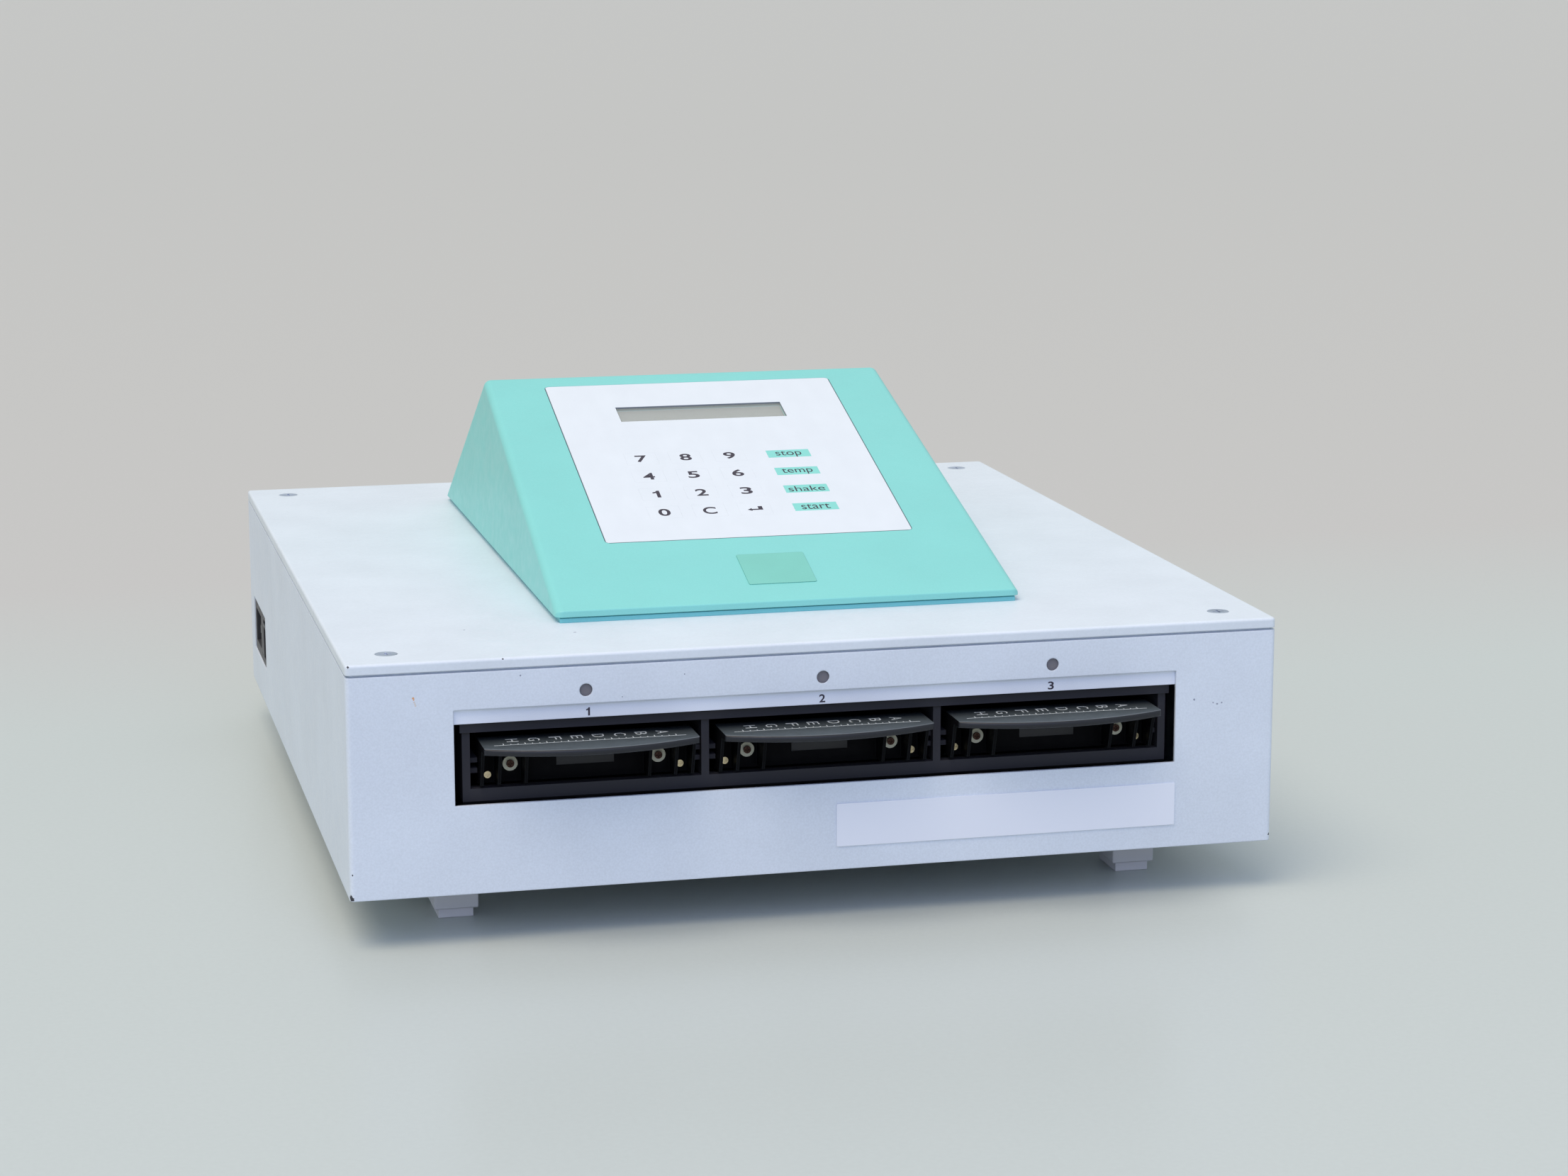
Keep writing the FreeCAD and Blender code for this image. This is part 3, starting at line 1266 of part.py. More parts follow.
plate_margin = s.hub_wide
plate = part(new_body("drive_plate"))
outline = new_sketch(plate, "drive_plate_plan", offset=floor_top)
draw_rectangle(
    outline,
    (-idler_x - plate_margin, idler_y - plate_margin),
    (idler_x + plate_margin, motor_y + s.motor_wide / 2 + plate_margin / 2),
)
pad(plate, "drive_plate_sheet", outline, s.drive_plate_thick)
outline = new_sketch(plate, "hub_plan", offset=floor_top)
for x, y in crank_pins:
    draw_circle(outline, x, y + s.throw, s.hub_wide)
pad(plate, "hubs", outline, hub_top - floor_top)
outline = new_sketch(plate, "hub_bore_plan", offset=hub_top)
for x, y in crank_pins:
    draw_circle(outline, x, y + s.throw, s.shaft_wide + 2 * s.running_clear)
pocket(plate, "hub_bores", outline, hub_top - floor_top - 1)

# Electronics behind the drive: the control board on its spacers and the transformer.
board_low = (-half_width + s.board_side, back - s.board_back - s.board_long)
board_high = (board_low[0] + s.board_wide, board_low[1] + s.board_long)
board_z = floor_top + s.spacer_tall
board_top = board_z + s.board_thick
board_bits = [block("board_sheet", (*board_low, board_z), (*board_high, board_top))]
for n, x in enumerate((board_low[0] + s.spacer_wide, board_high[0] - s.spacer_wide)):
    for m, y in enumerate((board_low[1] + s.spacer_wide, board_high[1] - s.spacer_wide)):
        board_bits.append(rod(f"spacer_{n}_{m}", s.spacer_wide, s.spacer_tall, x, y, floor_top))
# Each component: its place as a share of the board, then its width, depth and height.
COMPONENTS = [
    (0.15, 0.2, s.chip_wide, s.chip_wide, s.chip_tall),
    (0.45, 0.25, s.long_chip_wide, s.long_chip_long, s.chip_tall),
    (0.7, 0.6, s.capacitor_wide, s.capacitor_long, s.capacitor_tall),
    (0.15, 0.65, s.header_wide, s.header_long, s.header_long),
]
for n, (across, along, wide, deep, tall) in enumerate(COMPONENTS):
    x = board_low[0] + s.board_wide * across
    y = board_low[1] + s.board_long * along
    board_bits.append(block(f"component_{n}", (x, y, board_top), (x + wide, y + deep, board_top + tall)))
part(join("main_board", *board_bits))

core_x, core_y = half_width - s.core_side - s.core_wide, back - s.core_back - s.core_long
core = block(
    "core_stack",
    (core_x, core_y, floor_top),
    (core_x + s.core_wide, core_y + s.core_long, floor_top + s.core_tall),
)
coil = block(
    "core_coil",
    (core_x + s.coil_inset, core_y - s.coil_out, floor_top + s.coil_inset),
    (
        core_x + s.core_wide - s.coil_inset,
        core_y + s.core_long + s.coil_out,
        floor_top + s.core_tall - s.coil_inset,
    ),
)
part(join("transformer", core, coil))

# The mains module in the left side: socket with blades, fuse drawer and rocker switch.
face_x = -half_width + s.inlet_recess
inner_x = -half_width + s.sheet_metal
half_long, half_tall = s.inlet_long / 2, s.inlet_tall / 2
shell_box = block(
    "inlet_box",
    (face_x, inlet_middle - half_long, inlet_height - half_tall),
    (face_x + s.inlet_deep, inlet_middle + half_long, inlet_height + half_tall),
)
edge = s.inlet_flange
flange_box = block(
    "inlet_flange",
    (inner_x, inlet_middle - half_long - edge, inlet_height - half_tall - edge),
    (inner_x + edge, inlet_middle + half_long + edge, inlet_height + half_tall + edge),
)
socket_y = inlet_middle + s.socket_back
rocker_y = inlet_middle - s.rocker_front
fuse_y = inlet_middle - s.fuse_front
clear = s.rocker_clear


def inlet_hollow(name, middle, long, tall, deep):
    """A rectangular hollow in the module's face."""
    return block(
        name,
        (face_x - 1, middle - long / 2, inlet_height - tall / 2),
        (face_x + deep, middle + long / 2, inlet_height + tall / 2),
    )


socket = inlet_hollow("socket_hollow", socket_y, s.socket_long, s.socket_tall, s.socket_deep)
rocker_room = inlet_hollow(
    "rocker_hollow", rocker_y, s.rocker_long + 2 * clear, s.rocker_room, s.rocker_deep
)
fuse_room = inlet_hollow(
    "fuse_hollow", fuse_y, s.fuse_long + 2 * clear, s.fuse_tall + 2 * clear, s.fuse_deep + clear
)
pivot_x = face_x + s.rocker_pivot
pin_long = s.rocker_long + 2 * s.pin_reach
pin_room = rod(
    "rocker_pin_hole",
    s.rocker_pin + 2 * s.running_clear,
    pin_long + clear,
    pivot_x,
    rocker_y - pin_long / 2 - clear / 2,
    inlet_height,
    "y",
)
housing = cut(
    "inlet_housing", join("inlet_blank", shell_box, flange_box), socket, rocker_room, fuse_room, pin_room
)
blades = []
blade_x = face_x + s.socket_deep - s.blade_out
blade_half = (s.blade_long / 2, s.blade_tall / 2)
for n, side in enumerate((-1, 0, 1)):
    y = socket_y + side * s.blade_side
    z = inlet_height - s.blade_drop if side else inlet_height + s.blade_drop
    low = (blade_x, y - blade_half[0], z - blade_half[1])
    high = (face_x + s.socket_deep + 1, y + blade_half[0], z + blade_half[1])
    blades.append(block(f"blade_{n}", low, high))
part(join("power_inlet", housing, *blades))

part(
    block(
        "fuse_drawer",
        (face_x, fuse_y - s.fuse_long / 2, inlet_height - s.fuse_tall / 2),
        (face_x + s.fuse_deep, fuse_y + s.fuse_long / 2, inlet_height + s.fuse_tall / 2),
    )
)

rocker = part(new_body("power_rocker"))
half_rocker = s.rocker_tall / 2
profile = new_sketch(rocker, "rocker_profile", "XZ", -s.rocker_long / 2)
lip = s.rocker_sink - s.rocker_pivot
draw_polygon(
    profile,
    [
        (lip, half_rocker),
        (lip + s.rocker_dip, size(0)),
        (lip, -half_rocker),
        (s.rocker_pin / 2, -half_rocker),
        (s.rocker_pin / 2 + s.rocker_taper, -half_rocker / 2),
        (s.rocker_pin / 2 + s.rocker_taper, half_rocker / 2),
        (s.rocker_pin / 2, half_rocker),
    ],
)
pad(rocker, "rocker_block", profile, s.rocker_long)
profile = new_sketch(rocker, "rocker_pin_profile", "XZ", -pin_long / 2)
draw_circle(profile, size(0), size(0), s.rocker_pin)
pad(rocker, "rocker_pin", profile, pin_long)
place(rocker, pivot_x, rocker_y, inlet_height, (0, 1, 0), -s.rocker_angle)

doc.recompute()
faults = [item.Name for item in doc.Objects if {"Invalid", "Error"} & set(item.State)]
for item in parts:
    if item.Shape.isNull() or not item.Shape.isValid() or not item.Shape.Solids:
        faults.append(item.Label)
if faults:
    raise SystemExit("these objects failed: " + ", ".join(faults))
os.makedirs("parts", exist_ok=True)
for item in parts:
    item.Shape.exportStep(os.path.join("parts", item.Label + ".step"))
print(len(parts), "sub-parts written")
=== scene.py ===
"""Finishes, soft edges, printing, camera and light for a bench instrument that warms and shakes plates."""

import json
import logging
import math
from collections.abc import Callable, Iterable
from dataclasses import dataclass, field, replace
from enum import Enum

import bmesh
import bpy
from mathutils import Matrix, Vector


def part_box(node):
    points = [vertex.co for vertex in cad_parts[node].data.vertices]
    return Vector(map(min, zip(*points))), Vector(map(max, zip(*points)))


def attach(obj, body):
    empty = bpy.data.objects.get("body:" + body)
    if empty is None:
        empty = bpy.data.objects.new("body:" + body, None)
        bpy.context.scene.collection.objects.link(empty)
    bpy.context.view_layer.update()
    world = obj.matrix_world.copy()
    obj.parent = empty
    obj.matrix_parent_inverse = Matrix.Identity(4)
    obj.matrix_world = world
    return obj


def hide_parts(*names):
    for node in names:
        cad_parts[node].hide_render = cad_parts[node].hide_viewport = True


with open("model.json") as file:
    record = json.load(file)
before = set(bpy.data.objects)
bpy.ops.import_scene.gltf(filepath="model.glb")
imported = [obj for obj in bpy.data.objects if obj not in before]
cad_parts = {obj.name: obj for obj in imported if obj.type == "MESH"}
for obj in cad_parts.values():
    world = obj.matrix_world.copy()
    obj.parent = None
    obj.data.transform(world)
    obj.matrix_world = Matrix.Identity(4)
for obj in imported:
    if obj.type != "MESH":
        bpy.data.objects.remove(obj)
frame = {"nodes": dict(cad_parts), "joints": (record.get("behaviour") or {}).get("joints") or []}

MM = 0.001
CLOSE = 0.01 * MM
NOISE_LOW, NOISE_HIGH = 0.3, 0.7
FLAT, SHARP, SMOOTH = math.radians(0.4), math.radians(30), math.radians(32)
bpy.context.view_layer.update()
LOG = logging.getLogger("shaker")

Form = bmesh.types.BMesh
Edge = bmesh.types.BMEdge
Face = bmesh.types.BMFace
Socket = bpy.types.NodeSocket
Colour = tuple[float, float, float]
Point = tuple[float, float, float]
Spots = tuple[tuple[float, float, float, float], ...]


def linear(tone: Colour) -> tuple[float, float, float, float]:
    """Turn red, green and blue from 0 to 255 into the scene's linear colour, with an alpha of 1."""
    parts = [value / 255 for value in tone]
    return (*(part / 12.92 if part <= 0.04045 else ((part + 0.055) / 1.055) ** 2.4 for part in parts), 1.0)


class Graph:
    """A material's node tree, with short ways to add what the finishes need."""

    def __init__(self, name: str) -> None:
        """Start a material with one shader.

        Args:
            name: The material's name.
        """
        self.material = bpy.data.materials.new(name)
        self.material.use_nodes = True
        self.tree = self.material.node_tree
        self.tree.nodes.clear()
        self.shader = self.add("ShaderNodeBsdfPrincipled")
        self.add("ShaderNodeOutputMaterial", {"Surface": self.shader.outputs["BSDF"]})
        self.place = self.add("ShaderNodeTexCoord").outputs["Object"]

    def add(self, kind: str, inputs: dict | None = None, **settings: object) -> bpy.types.Node:
        """Add a node, set it and link it.

        Args:
            kind: The node's type.
            inputs: Its inputs by name or number, each a value or another node's output.
            **settings: Its own settings.

        Returns:
            The new node.
        """
        node = self.tree.nodes.new(kind)
        for key, value in settings.items():
            setattr(node, key, value)
        for key, value in (inputs or {}).items():
            if isinstance(value, Socket):
                self.tree.links.new(value, node.inputs[key])
            else:
                node.inputs[key].default_value = value
        return node

    def dress(self, **inputs: object) -> None:
        """Set the shader's inputs, where an underscore in a name stands for a space.

        Args:
            **inputs: Values or outputs by the shader's input names.
        """
        for key, value in inputs.items():
            socket = self.shader.inputs[key.replace("_", " ")]
            if isinstance(value, Socket):
                self.tree.links.new(value, socket)
            else:
                socket.default_value = value

    def noise(self, size: float, detail: float = 2.0, stretch: Point = (1.0, 1.0, 1.0)) -> Socket:
        """Smooth noise from 0 to 1.

        Args:
            size: Width of its lumps in metres.
            detail: How many finer layers it has.
            stretch: Scale of the coordinates along each axis.

        Returns:
            The noise.
        """
        place = self.place
        if stretch != (1.0, 1.0, 1.0):
            place = self.add("ShaderNodeMapping", {"Vector": place, "Scale": stretch}).outputs[0]
        inputs = {"Vector": place, "Scale": 1 / size, "Detail": detail}
        return self.add("ShaderNodeTexNoise", inputs).outputs[0]

    def axis(self, index: int, vector: Socket | None = None) -> Socket:
        """One coordinate of a vector, which is the place on the surface if none is given."""
        return self.add("ShaderNodeSeparateXYZ", {0: vector or self.place}).outputs[index]

    def bricks(self, turn: float, inputs: dict, **settings: object) -> Socket:
        """Lines of 1 between cells of 0.

        Args:
            turn: How far the cells' plane is turned about X, in radians.
            inputs: The brick node's inputs.
            **settings: Its own settings.

        Returns:
            The lines.
        """
        turned = self.add("ShaderNodeMapping", {"Vector": self.place, "Rotation": (turn, 0.0, 0.0)})
        inputs = {"Vector": turned.outputs[0], **inputs}
        return self.add("ShaderNodeTexBrick", inputs, **settings).outputs["Fac"]

    def span(self, value: Socket, low: float, high: float, start: float = 0.0, end: float = 1.0) -> Socket:
        """Map the range from low to high to the range from start to end, held at its ends."""
        inputs = {"Value": value, "From Min": low, "From Max": high, "To Min": start, "To Max": end}
        return self.add("ShaderNodeMapRange", inputs).outputs[0]

    def wander(self, source: Socket, middle: float, less: float, more: float | None = None) -> Socket:
        """A value that sinks and rises round its middle by the given amounts, as a noise does."""
        more = less if more is None else more
        return self.span(source, NOISE_LOW, NOISE_HIGH, middle - less, middle + more)

    def calc(self, operation: str, first: object, second: object = 0.0) -> Socket:
        """The Math node's result for one operation on two values."""
        return self.add("ShaderNodeMath", {0: first, 1: second}, operation=operation).outputs[0]

    def vector(self, operation: str, first: object, second: object, result: str = "Value") -> Socket:
        """The Vector Math node's result for one operation on two vectors."""
        return self.add("ShaderNodeVectorMath", {0: first, 1: second}, operation=operation).outputs[result]

    def blend(self, factor: Socket, low: object, high: object) -> Socket:
        """Mix two colours by a factor, 0 for the first and 1 for the second."""
        return self.add("ShaderNodeMix", {0: factor, 6: low, 7: high}, data_type="RGBA").outputs[2]

    def varied(self, tone: object, *layers: tuple[Socket, float]) -> Socket:
        """Make a colour a little darker and lighter over the surface.

        Args:
            tone: The colour.
            *layers: Noise outputs, each with the share by which it changes the brightness.

        Returns:
            The changed colour.
        """
        value = 1.0
        for source, amount in layers:
            value = self.calc("ADD", self.wander(source, 0.0, amount), value)
        return self.add("ShaderNodeHueSaturation", {"Color": tone, "Value": value}).outputs[0]

    def rounded(self, radius: float) -> Socket:
        """The normal as if each edge were rounded to a radius in metres."""
        return self.add("ShaderNodeBevel", {"Radius": radius}, samples=6).outputs[0]

    def edges(self, radius: float) -> Socket:
        """How near an edge is, from 0 at a radius in metres from it to 1 on it."""
        flat = self.add("ShaderNodeNewGeometry").outputs["Normal"]
        return self.span(self.vector("DOT_PRODUCT", self.rounded(radius), flat), 0.75, 0.98, 1.0, 0.0)

    def relief(self, height: Socket, depth: float, under: Socket | None = None) -> Socket:
        """A normal raised and sunk by a height.

        Args:
            height: Height from 0 to 1.
            depth: What a height of 1 is, in metres.
            under: The normal that it starts from.

        Returns:
            The new normal.
        """
        inputs = {"Height": height, "Distance": depth}
        if under is not None:
            inputs["Normal"] = under
        return self.add("ShaderNodeBump", inputs).outputs["Normal"]

    def spots(self, marks: Spots) -> Socket:
        """Ragged spots round given points.

        Args:
            marks: Each spot's centre and radius in millimetres.

        Returns:
            1 inside a spot and 0 outside.
        """
        found = None
        ragged = self.noise(1.1 * MM, 3.0)
        for x, y, z, radius in marks:
            away = self.vector("DISTANCE", self.place, (x * MM, y * MM, z * MM))
            bent = self.calc("ADD", away, self.wander(ragged, 0.0, 0.45 * radius * MM))
            mark = self.span(bent, 0.8 * radius * MM, radius * MM, 1.0, 0.0)
            found = mark if found is None else self.calc("MAXIMUM", found, mark)
        return found


def shown(name: str, data: bpy.types.ID) -> bpy.types.Object:
    """Put an object with the given data into the scene.

    Args:
        name: The object's name.
        data: Its mesh, curve, light or camera.

    Returns:
        The object.
    """
    item = bpy.data.objects.new(name, data)
    bpy.context.scene.collection.objects.link(item)
    return item


def settled(name: str, form: Form) -> bpy.types.Mesh:
    """Turn a form, which is used up, into a mesh.

    Args:
        name: The mesh's name.
        form: The form.

    Returns:
        The mesh.
    """
    mesh = bpy.data.meshes.new(name)
    form.to_mesh(mesh)
    form.free()
    return mesh


def round_off(form: Form, edges: list[Edge], width: float, segments: int) -> None:
    """Round edges of a form.

    Args:
        form: The form.
        edges: Which of its edges are rounded.
        width: Width of the rounding in metres.
        segments: Steps round each edge.
    """
    bmesh.ops.bevel(form, geom=edges, offset=width, offset_type="OFFSET", affect="EDGES",
                    segments=segments, profile=0.5, material=-1, clamp_overlap=True)


def extent(points: list[Vector]) -> tuple[Vector, Vector]:
    """The lowest and highest corner round some points."""
    return tuple(Vector(pick(point[axis] for point in points) for axis in range(3)) for pick in (min, max))


@dataclass(frozen=True)
class Finish:
    """A surface finish, made into one material when it is first asked for."""

    name: str
    tone: Colour
    rough: float = 0.5

    def build(self, graph: Graph) -> None:
        """Add the finish's own nodes to a graph."""
        raise NotImplementedError

    def material(self) -> bpy.types.Material:
        """Make the finish's material, or find it if it is made already.

        Returns:
            The material.
        """
        found = bpy.data.materials.get(self.name)
        if found is None:
            graph = Graph(self.name)
            self.build(graph)
            found = graph.material
        return found


@dataclass(frozen=True)
class PowderCoat(Finish):
    """Sprayed and baked paint on sheet metal, with its orange peel and its chips."""

    peel: float = 0.9 * MM
    depth: float = 0.02 * MM
    mottle: float = 0.035
    cloud: float = 0.03
    bend: float = 0.7 * MM
    marks: tuple[tuple[Colour, Spots], ...] = ()

    def build(self, graph: Graph) -> None:
        """Add peel, a faint mottle and marks.

        Args:
            graph: The material's graph.
        """
        peel = graph.noise(self.peel, 1.5)
        cloud = graph.noise(38 * MM, 4.0)
        tone = graph.varied(linear(self.tone), (peel, self.mottle), (cloud, self.cloud))
        rough = graph.wander(graph.noise(6 * MM, 3.0), self.rough, 0.07)
        normal = graph.relief(peel, self.depth, graph.rounded(self.bend))
        for under, spots in self.marks:
            bare = graph.spots(spots)
            tone = graph.blend(bare, tone, linear(under))
            rough = graph.calc("MAXIMUM", rough, graph.calc("MULTIPLY", bare, 0.75))
            normal = graph.relief(graph.calc("SUBTRACT", 1.0, bare), 0.05 * MM, normal)
        graph.dress(Base_Color=tone, Roughness=rough, Normal=normal, Specular_IOR_Level=0.45)


@dataclass(frozen=True)
class Moulding(Finish):
    """Moulded plastic or rubber with a fine grain and edges rubbed a little lighter."""

    grain: float = 0.5 * MM
    depth: float = 0.012 * MM
    speckle: float = 0.06
    cloud: float = 0.05
    bend: float = 0.4 * MM
    worn: Colour | None = None
    gloss: float = 0.45

    def build(self, graph: Graph) -> None:
        """Add grain, faint clouds and rubbed edges.

        Args:
            graph: The material's graph.
        """
        grain = graph.noise(self.grain, 2.0)
        cloud = graph.noise(17 * MM, 3.0)
        tone = graph.varied(linear(self.tone), (grain, self.speckle), (cloud, self.cloud))
        if self.worn is not None:
            patchy = graph.span(cloud, 0.35, 0.6, 0.35, 0.9)
            rubbed = graph.calc("MULTIPLY", graph.edges(1.6 * self.bend), patchy)
            tone = graph.blend(rubbed, tone, linear(self.worn))
        rough = graph.wander(graph.noise(4 * MM, 3.0), self.rough, 0.08)
        normal = graph.relief(grain, self.depth, graph.rounded(self.bend))
        graph.dress(Base_Color=tone, Roughness=rough, Normal=normal, Specular_IOR_Level=self.gloss)


@dataclass(frozen=True)
class HighlitMoulding(Moulding):
    """Moulded plastic with a painted highlight that grows towards its front, where the light falls on it."""

    near: Colour = (128, 128, 128)
    start: float = 0.0
    end: float = 1.0

    def build(self, graph: Graph) -> None:
        """Add the moulding's own nodes and the painted highlight towards the front.

        Args:
            graph: The material's graph.
        """
        super().build(graph)
        held = graph.shader.inputs["Base Color"].links[0].from_socket
        # painted highlight: a lighter tone blended in towards the front, standing in for light and reflection
        # on the top
        pale = graph.varied(linear(self.near), (graph.noise(self.grain, 2.0), self.speckle))
        graph.dress(Base_Color=graph.blend(graph.span(graph.axis(1), self.start, self.end), held, pale))


@dataclass(frozen=True)
class Film(Finish):
    """Printed polyester film with a velvet face.

    Its border, if it has one, is given as a point of its lower edge, the ways up and out of the slope, and
    half its width. A fine line of painted shadow, standing in for the shade of the gap round the film, then
    runs inside its sides and lower edge, and its cut edges are darker.
    """

    grain: float = 0.16 * MM
    depth: float = 0.004 * MM
    line: float = 0.4 * MM
    gap_shade_tone: Colour = (96, 112, 118)
    cut_tone: Colour = (140, 148, 156)
    border: tuple[Point, Point, Point, float] | None = None

    def build(self, graph: Graph) -> None:
        """Add the velvet, a few handling smears and the border with its painted shadow line.

        Args:
            graph: The material's graph.
        """
        grain = graph.noise(self.grain, 1.0)
        smear = graph.noise(9 * MM, 3.0, (1.0, 0.5, 0.5))
        tone = graph.varied(linear(self.tone), (grain, 0.02), (smear, 0.012))
        if self.border is not None:
            origin, along, out, half = self.border
            away = graph.vector("SUBTRACT", graph.place, origin, "Vector")
            up = graph.vector("DOT_PRODUCT", away, along)
            over = graph.vector("DOT_PRODUCT", away, out)
            side = graph.calc("ABSOLUTE", graph.axis(0, away))
            # painted shadow: a dark line inside the sides and lower edge, standing in for the shade of the
            # gap round the film
            near = graph.calc("MAXIMUM", graph.span(side, half - self.line, half - 0.6 * self.line),
                              graph.span(up, 0.6 * self.line, self.line, 1.0, 0.0))
            tone = graph.blend(near, tone, linear(self.gap_shade_tone))
            below = graph.span(over, -0.06 * MM, -0.02 * MM, 1.0, 0.0)
            tone = graph.blend(below, tone, linear(self.cut_tone))
        rough = graph.wander(smear, self.rough, 0.06)
        graph.dress(Base_Color=tone, Roughness=rough, Normal=graph.relief(grain, self.depth))
        graph.dress(Specular_IOR_Level=0.4, Coat_Weight=0.08, Coat_Roughness=0.3)


@dataclass(frozen=True)
class Ink(Finish):
    """Screen-printed ink, slightly uneven in cover."""

    def build(self, graph: Graph) -> None:
        """Add the uneven cover.

        Args:
            graph: The material's graph.
        """
        cover = graph.noise(0.35 * MM, 3.0)
        tone = graph.varied(linear(self.tone), (cover, 0.1))
        rough = graph.wander(cover, self.rough, 0.05, 0.1)
        graph.dress(Base_Color=tone, Roughness=rough, Normal=graph.relief(cover, 0.004 * MM))


@dataclass(frozen=True)
class BareMetal(Finish):
    """Bare or plated metal with drawn or turned lines."""

    lines: Point = (1.0, 30.0, 30.0)
    bend: float = 0.25 * MM
    dull: float = 0.12

    def build(self, graph: Graph) -> None:
        """Add drawn lines and dull patches.

        Args:
            graph: The material's graph.
        """
        drawn = graph.noise(3 * MM, 3.0, self.lines)
        patch = graph.noise(11 * MM, 3.0)
        tone = graph.varied(linear(self.tone), (drawn, 0.08), (patch, self.dull))
        rough = graph.calc("ADD", graph.wander(drawn, self.rough, 0.06), graph.wander(patch, 0.0, 0.06, 0.08))
        normal = graph.relief(drawn, 0.004 * MM, graph.rounded(self.bend))
        graph.dress(Base_Color=tone, Metallic=1.0, Roughness=rough, Normal=normal)


@dataclass(frozen=True)
class ClearPlate(Finish):
    """A clear window plate with a few hairline scratches."""

    cover: float = 0.08

    def build(self, graph: Graph) -> None:
        """Add hairline scratches.

        Args:
            graph: The material's graph.
        """
        hair = graph.noise(6 * MM, 2.0, (1.0, 14.0, 14.0))
        rough = graph.span(hair, 0.45, 0.6, self.rough, self.rough + 0.1)
        tone = graph.varied(linear(self.tone), (hair, 0.03))
        graph.dress(Base_Color=tone, Roughness=rough, Alpha=self.cover, IOR=1.49)
        graph.dress(Normal=graph.relief(hair, 0.002 * MM))


@dataclass(frozen=True)
class LampLens(Finish):
    """A frosted lamp lens with a paler middle, darker towards its rim as painted shade from the hole it sits
    in.
    """

    middles: tuple[Point, ...] = ()
    rim: Colour = (96, 94, 104)

    def build(self, graph: Graph) -> None:
        """Add the paler middles, the painted shade towards each rim and the frosting.

        Args:
            graph: The material's graph.
        """
        near = None
        for x, y, z in self.middles:
            away = graph.vector("DISTANCE", graph.place, (x * MM, y * MM, z * MM))
            near = away if near is None else graph.calc("MINIMUM", near, away)
        frost = graph.noise(0.4 * MM, 2.0)
        # painted shade: a darker ring towards each lens's rim, where the hole round it shades it
        tone = graph.blend(graph.span(near, 1.2 * MM, 2.9 * MM), linear(self.tone), linear(self.rim))
        tone = graph.varied(tone, (frost, 0.04))
        normal = graph.relief(frost, 0.01 * MM, graph.rounded(0.4 * MM))
        graph.dress(Base_Color=tone, Roughness=self.rough, Normal=normal, Subsurface_Weight=0.15)
        graph.dress(Subsurface_Scale=0.002, Coat_Weight=0.25, Coat_Roughness=0.15)


@dataclass(frozen=True)
class BoardLacquer(Finish):
    """Green circuit-board lacquer over fine copper tracks."""

    turn: float = 0.0

    def build(self, graph: Graph) -> None:
        """Add tracks under the lacquer.

        Args:
            graph: The material's graph.
        """
        inputs = {"Scale": 130.0, "Mortar Size": 0.06, "Brick Width": 0.9, "Row Height": 0.32}
        track = graph.bricks(self.turn, inputs)
        cloud = graph.noise(12 * MM, 3.0)
        tone = graph.blend(track, linear(self.tone), linear(tuple(value * 1.35 for value in self.tone)))
        tone = graph.varied(tone, (cloud, 0.08))
        normal = graph.relief(track, 0.03 * MM, graph.rounded(0.2 * MM))
        graph.dress(Base_Color=tone, Roughness=self.rough, Normal=normal, Coat_Weight=0.3, Coat_Roughness=0.2)


@dataclass(frozen=True)
class LiquidCrystal(Finish):
    """An unlit character display: grey-green glass with faint cells, paler towards its lower edge, its darker
    top being painted shade under the window's rim.
    """

    low: float = 0.0
    high: float = 1.0
    top_shade_tone: Colour = (86, 82, 75)
    turn: float = 0.0
    cell: tuple[float, float] = (4.6 * MM, 6.6 * MM)

    def build(self, graph: Graph) -> None:
        """Add the painted shade and the cells.

        Args:
            graph: The material's graph.
        """
        # painted shade: the glass darkens towards its top edge, under the window's rim
        height = graph.span(graph.axis(2), self.low, self.high)
        tone = graph.blend(height, linear(self.tone), linear(self.top_shade_tone))
        inputs = {"Scale": 1.0, "Mortar Size": 0.35 * MM, "Mortar Smooth": 0.6,
                  "Brick Width": self.cell[0], "Row Height": self.cell[1], "Bias": 0.0}
        grid = graph.bricks(self.turn, inputs, offset=0.0)
        cloud = graph.noise(7 * MM, 3.0)
        tone = graph.varied(tone, (cloud, 0.02), (grid, 0.02))
        graph.dress(Base_Color=tone, Roughness=self.rough, Coat_Weight=0.2, Coat_Roughness=0.12)
        graph.dress(Normal=graph.relief(cloud, 0.004 * MM))


@dataclass(frozen=True)
class PaintedEdge(Finish):
    """A flat plate whose rim is a darker line than its face."""

    rim: Colour = (60, 60, 70)
    reach: float = 0.35 * MM
    grain: float = 0.3 * MM

    def build(self, graph: Graph) -> None:
        """Add the dark rim and a fine grain.

        Args:
            graph: The material's graph.
        """
        grain = graph.noise(self.grain, 2.0)
        cloud = graph.noise(14 * MM, 3.0)
        tone = graph.varied(linear(self.tone), (grain, 0.025), (cloud, 0.02))
        tone = graph.blend(graph.edges(self.reach), tone, linear(self.rim))
        rough = graph.wander(cloud, self.rough, 0.05)
        normal = graph.relief(grain, 0.006 * MM, graph.rounded(0.25 * MM))
        graph.dress(Base_Color=tone, Roughness=rough, Normal=normal)


@dataclass(frozen=True)
class FloorFinish(Finish):
    """A pale table top with a fine speckle, of another tone far behind the instrument."""

    far: Colour = (195, 191, 187)
    change: tuple[float, float] = (0.2, 0.6)

    def build(self, graph: Graph) -> None:
        """Add the speckle and the slow change of tone.

        Args:
            graph: The material's graph.
        """
        tone = graph.blend(graph.span(graph.axis(1), *self.change), linear(self.tone), linear(self.far))
        tone = graph.varied(tone, (graph.noise(2.5 * MM, 2.0), 0.012))
        graph.dress(Base_Color=tone, Roughness=self.rough, Specular_IOR_Level=0.25)


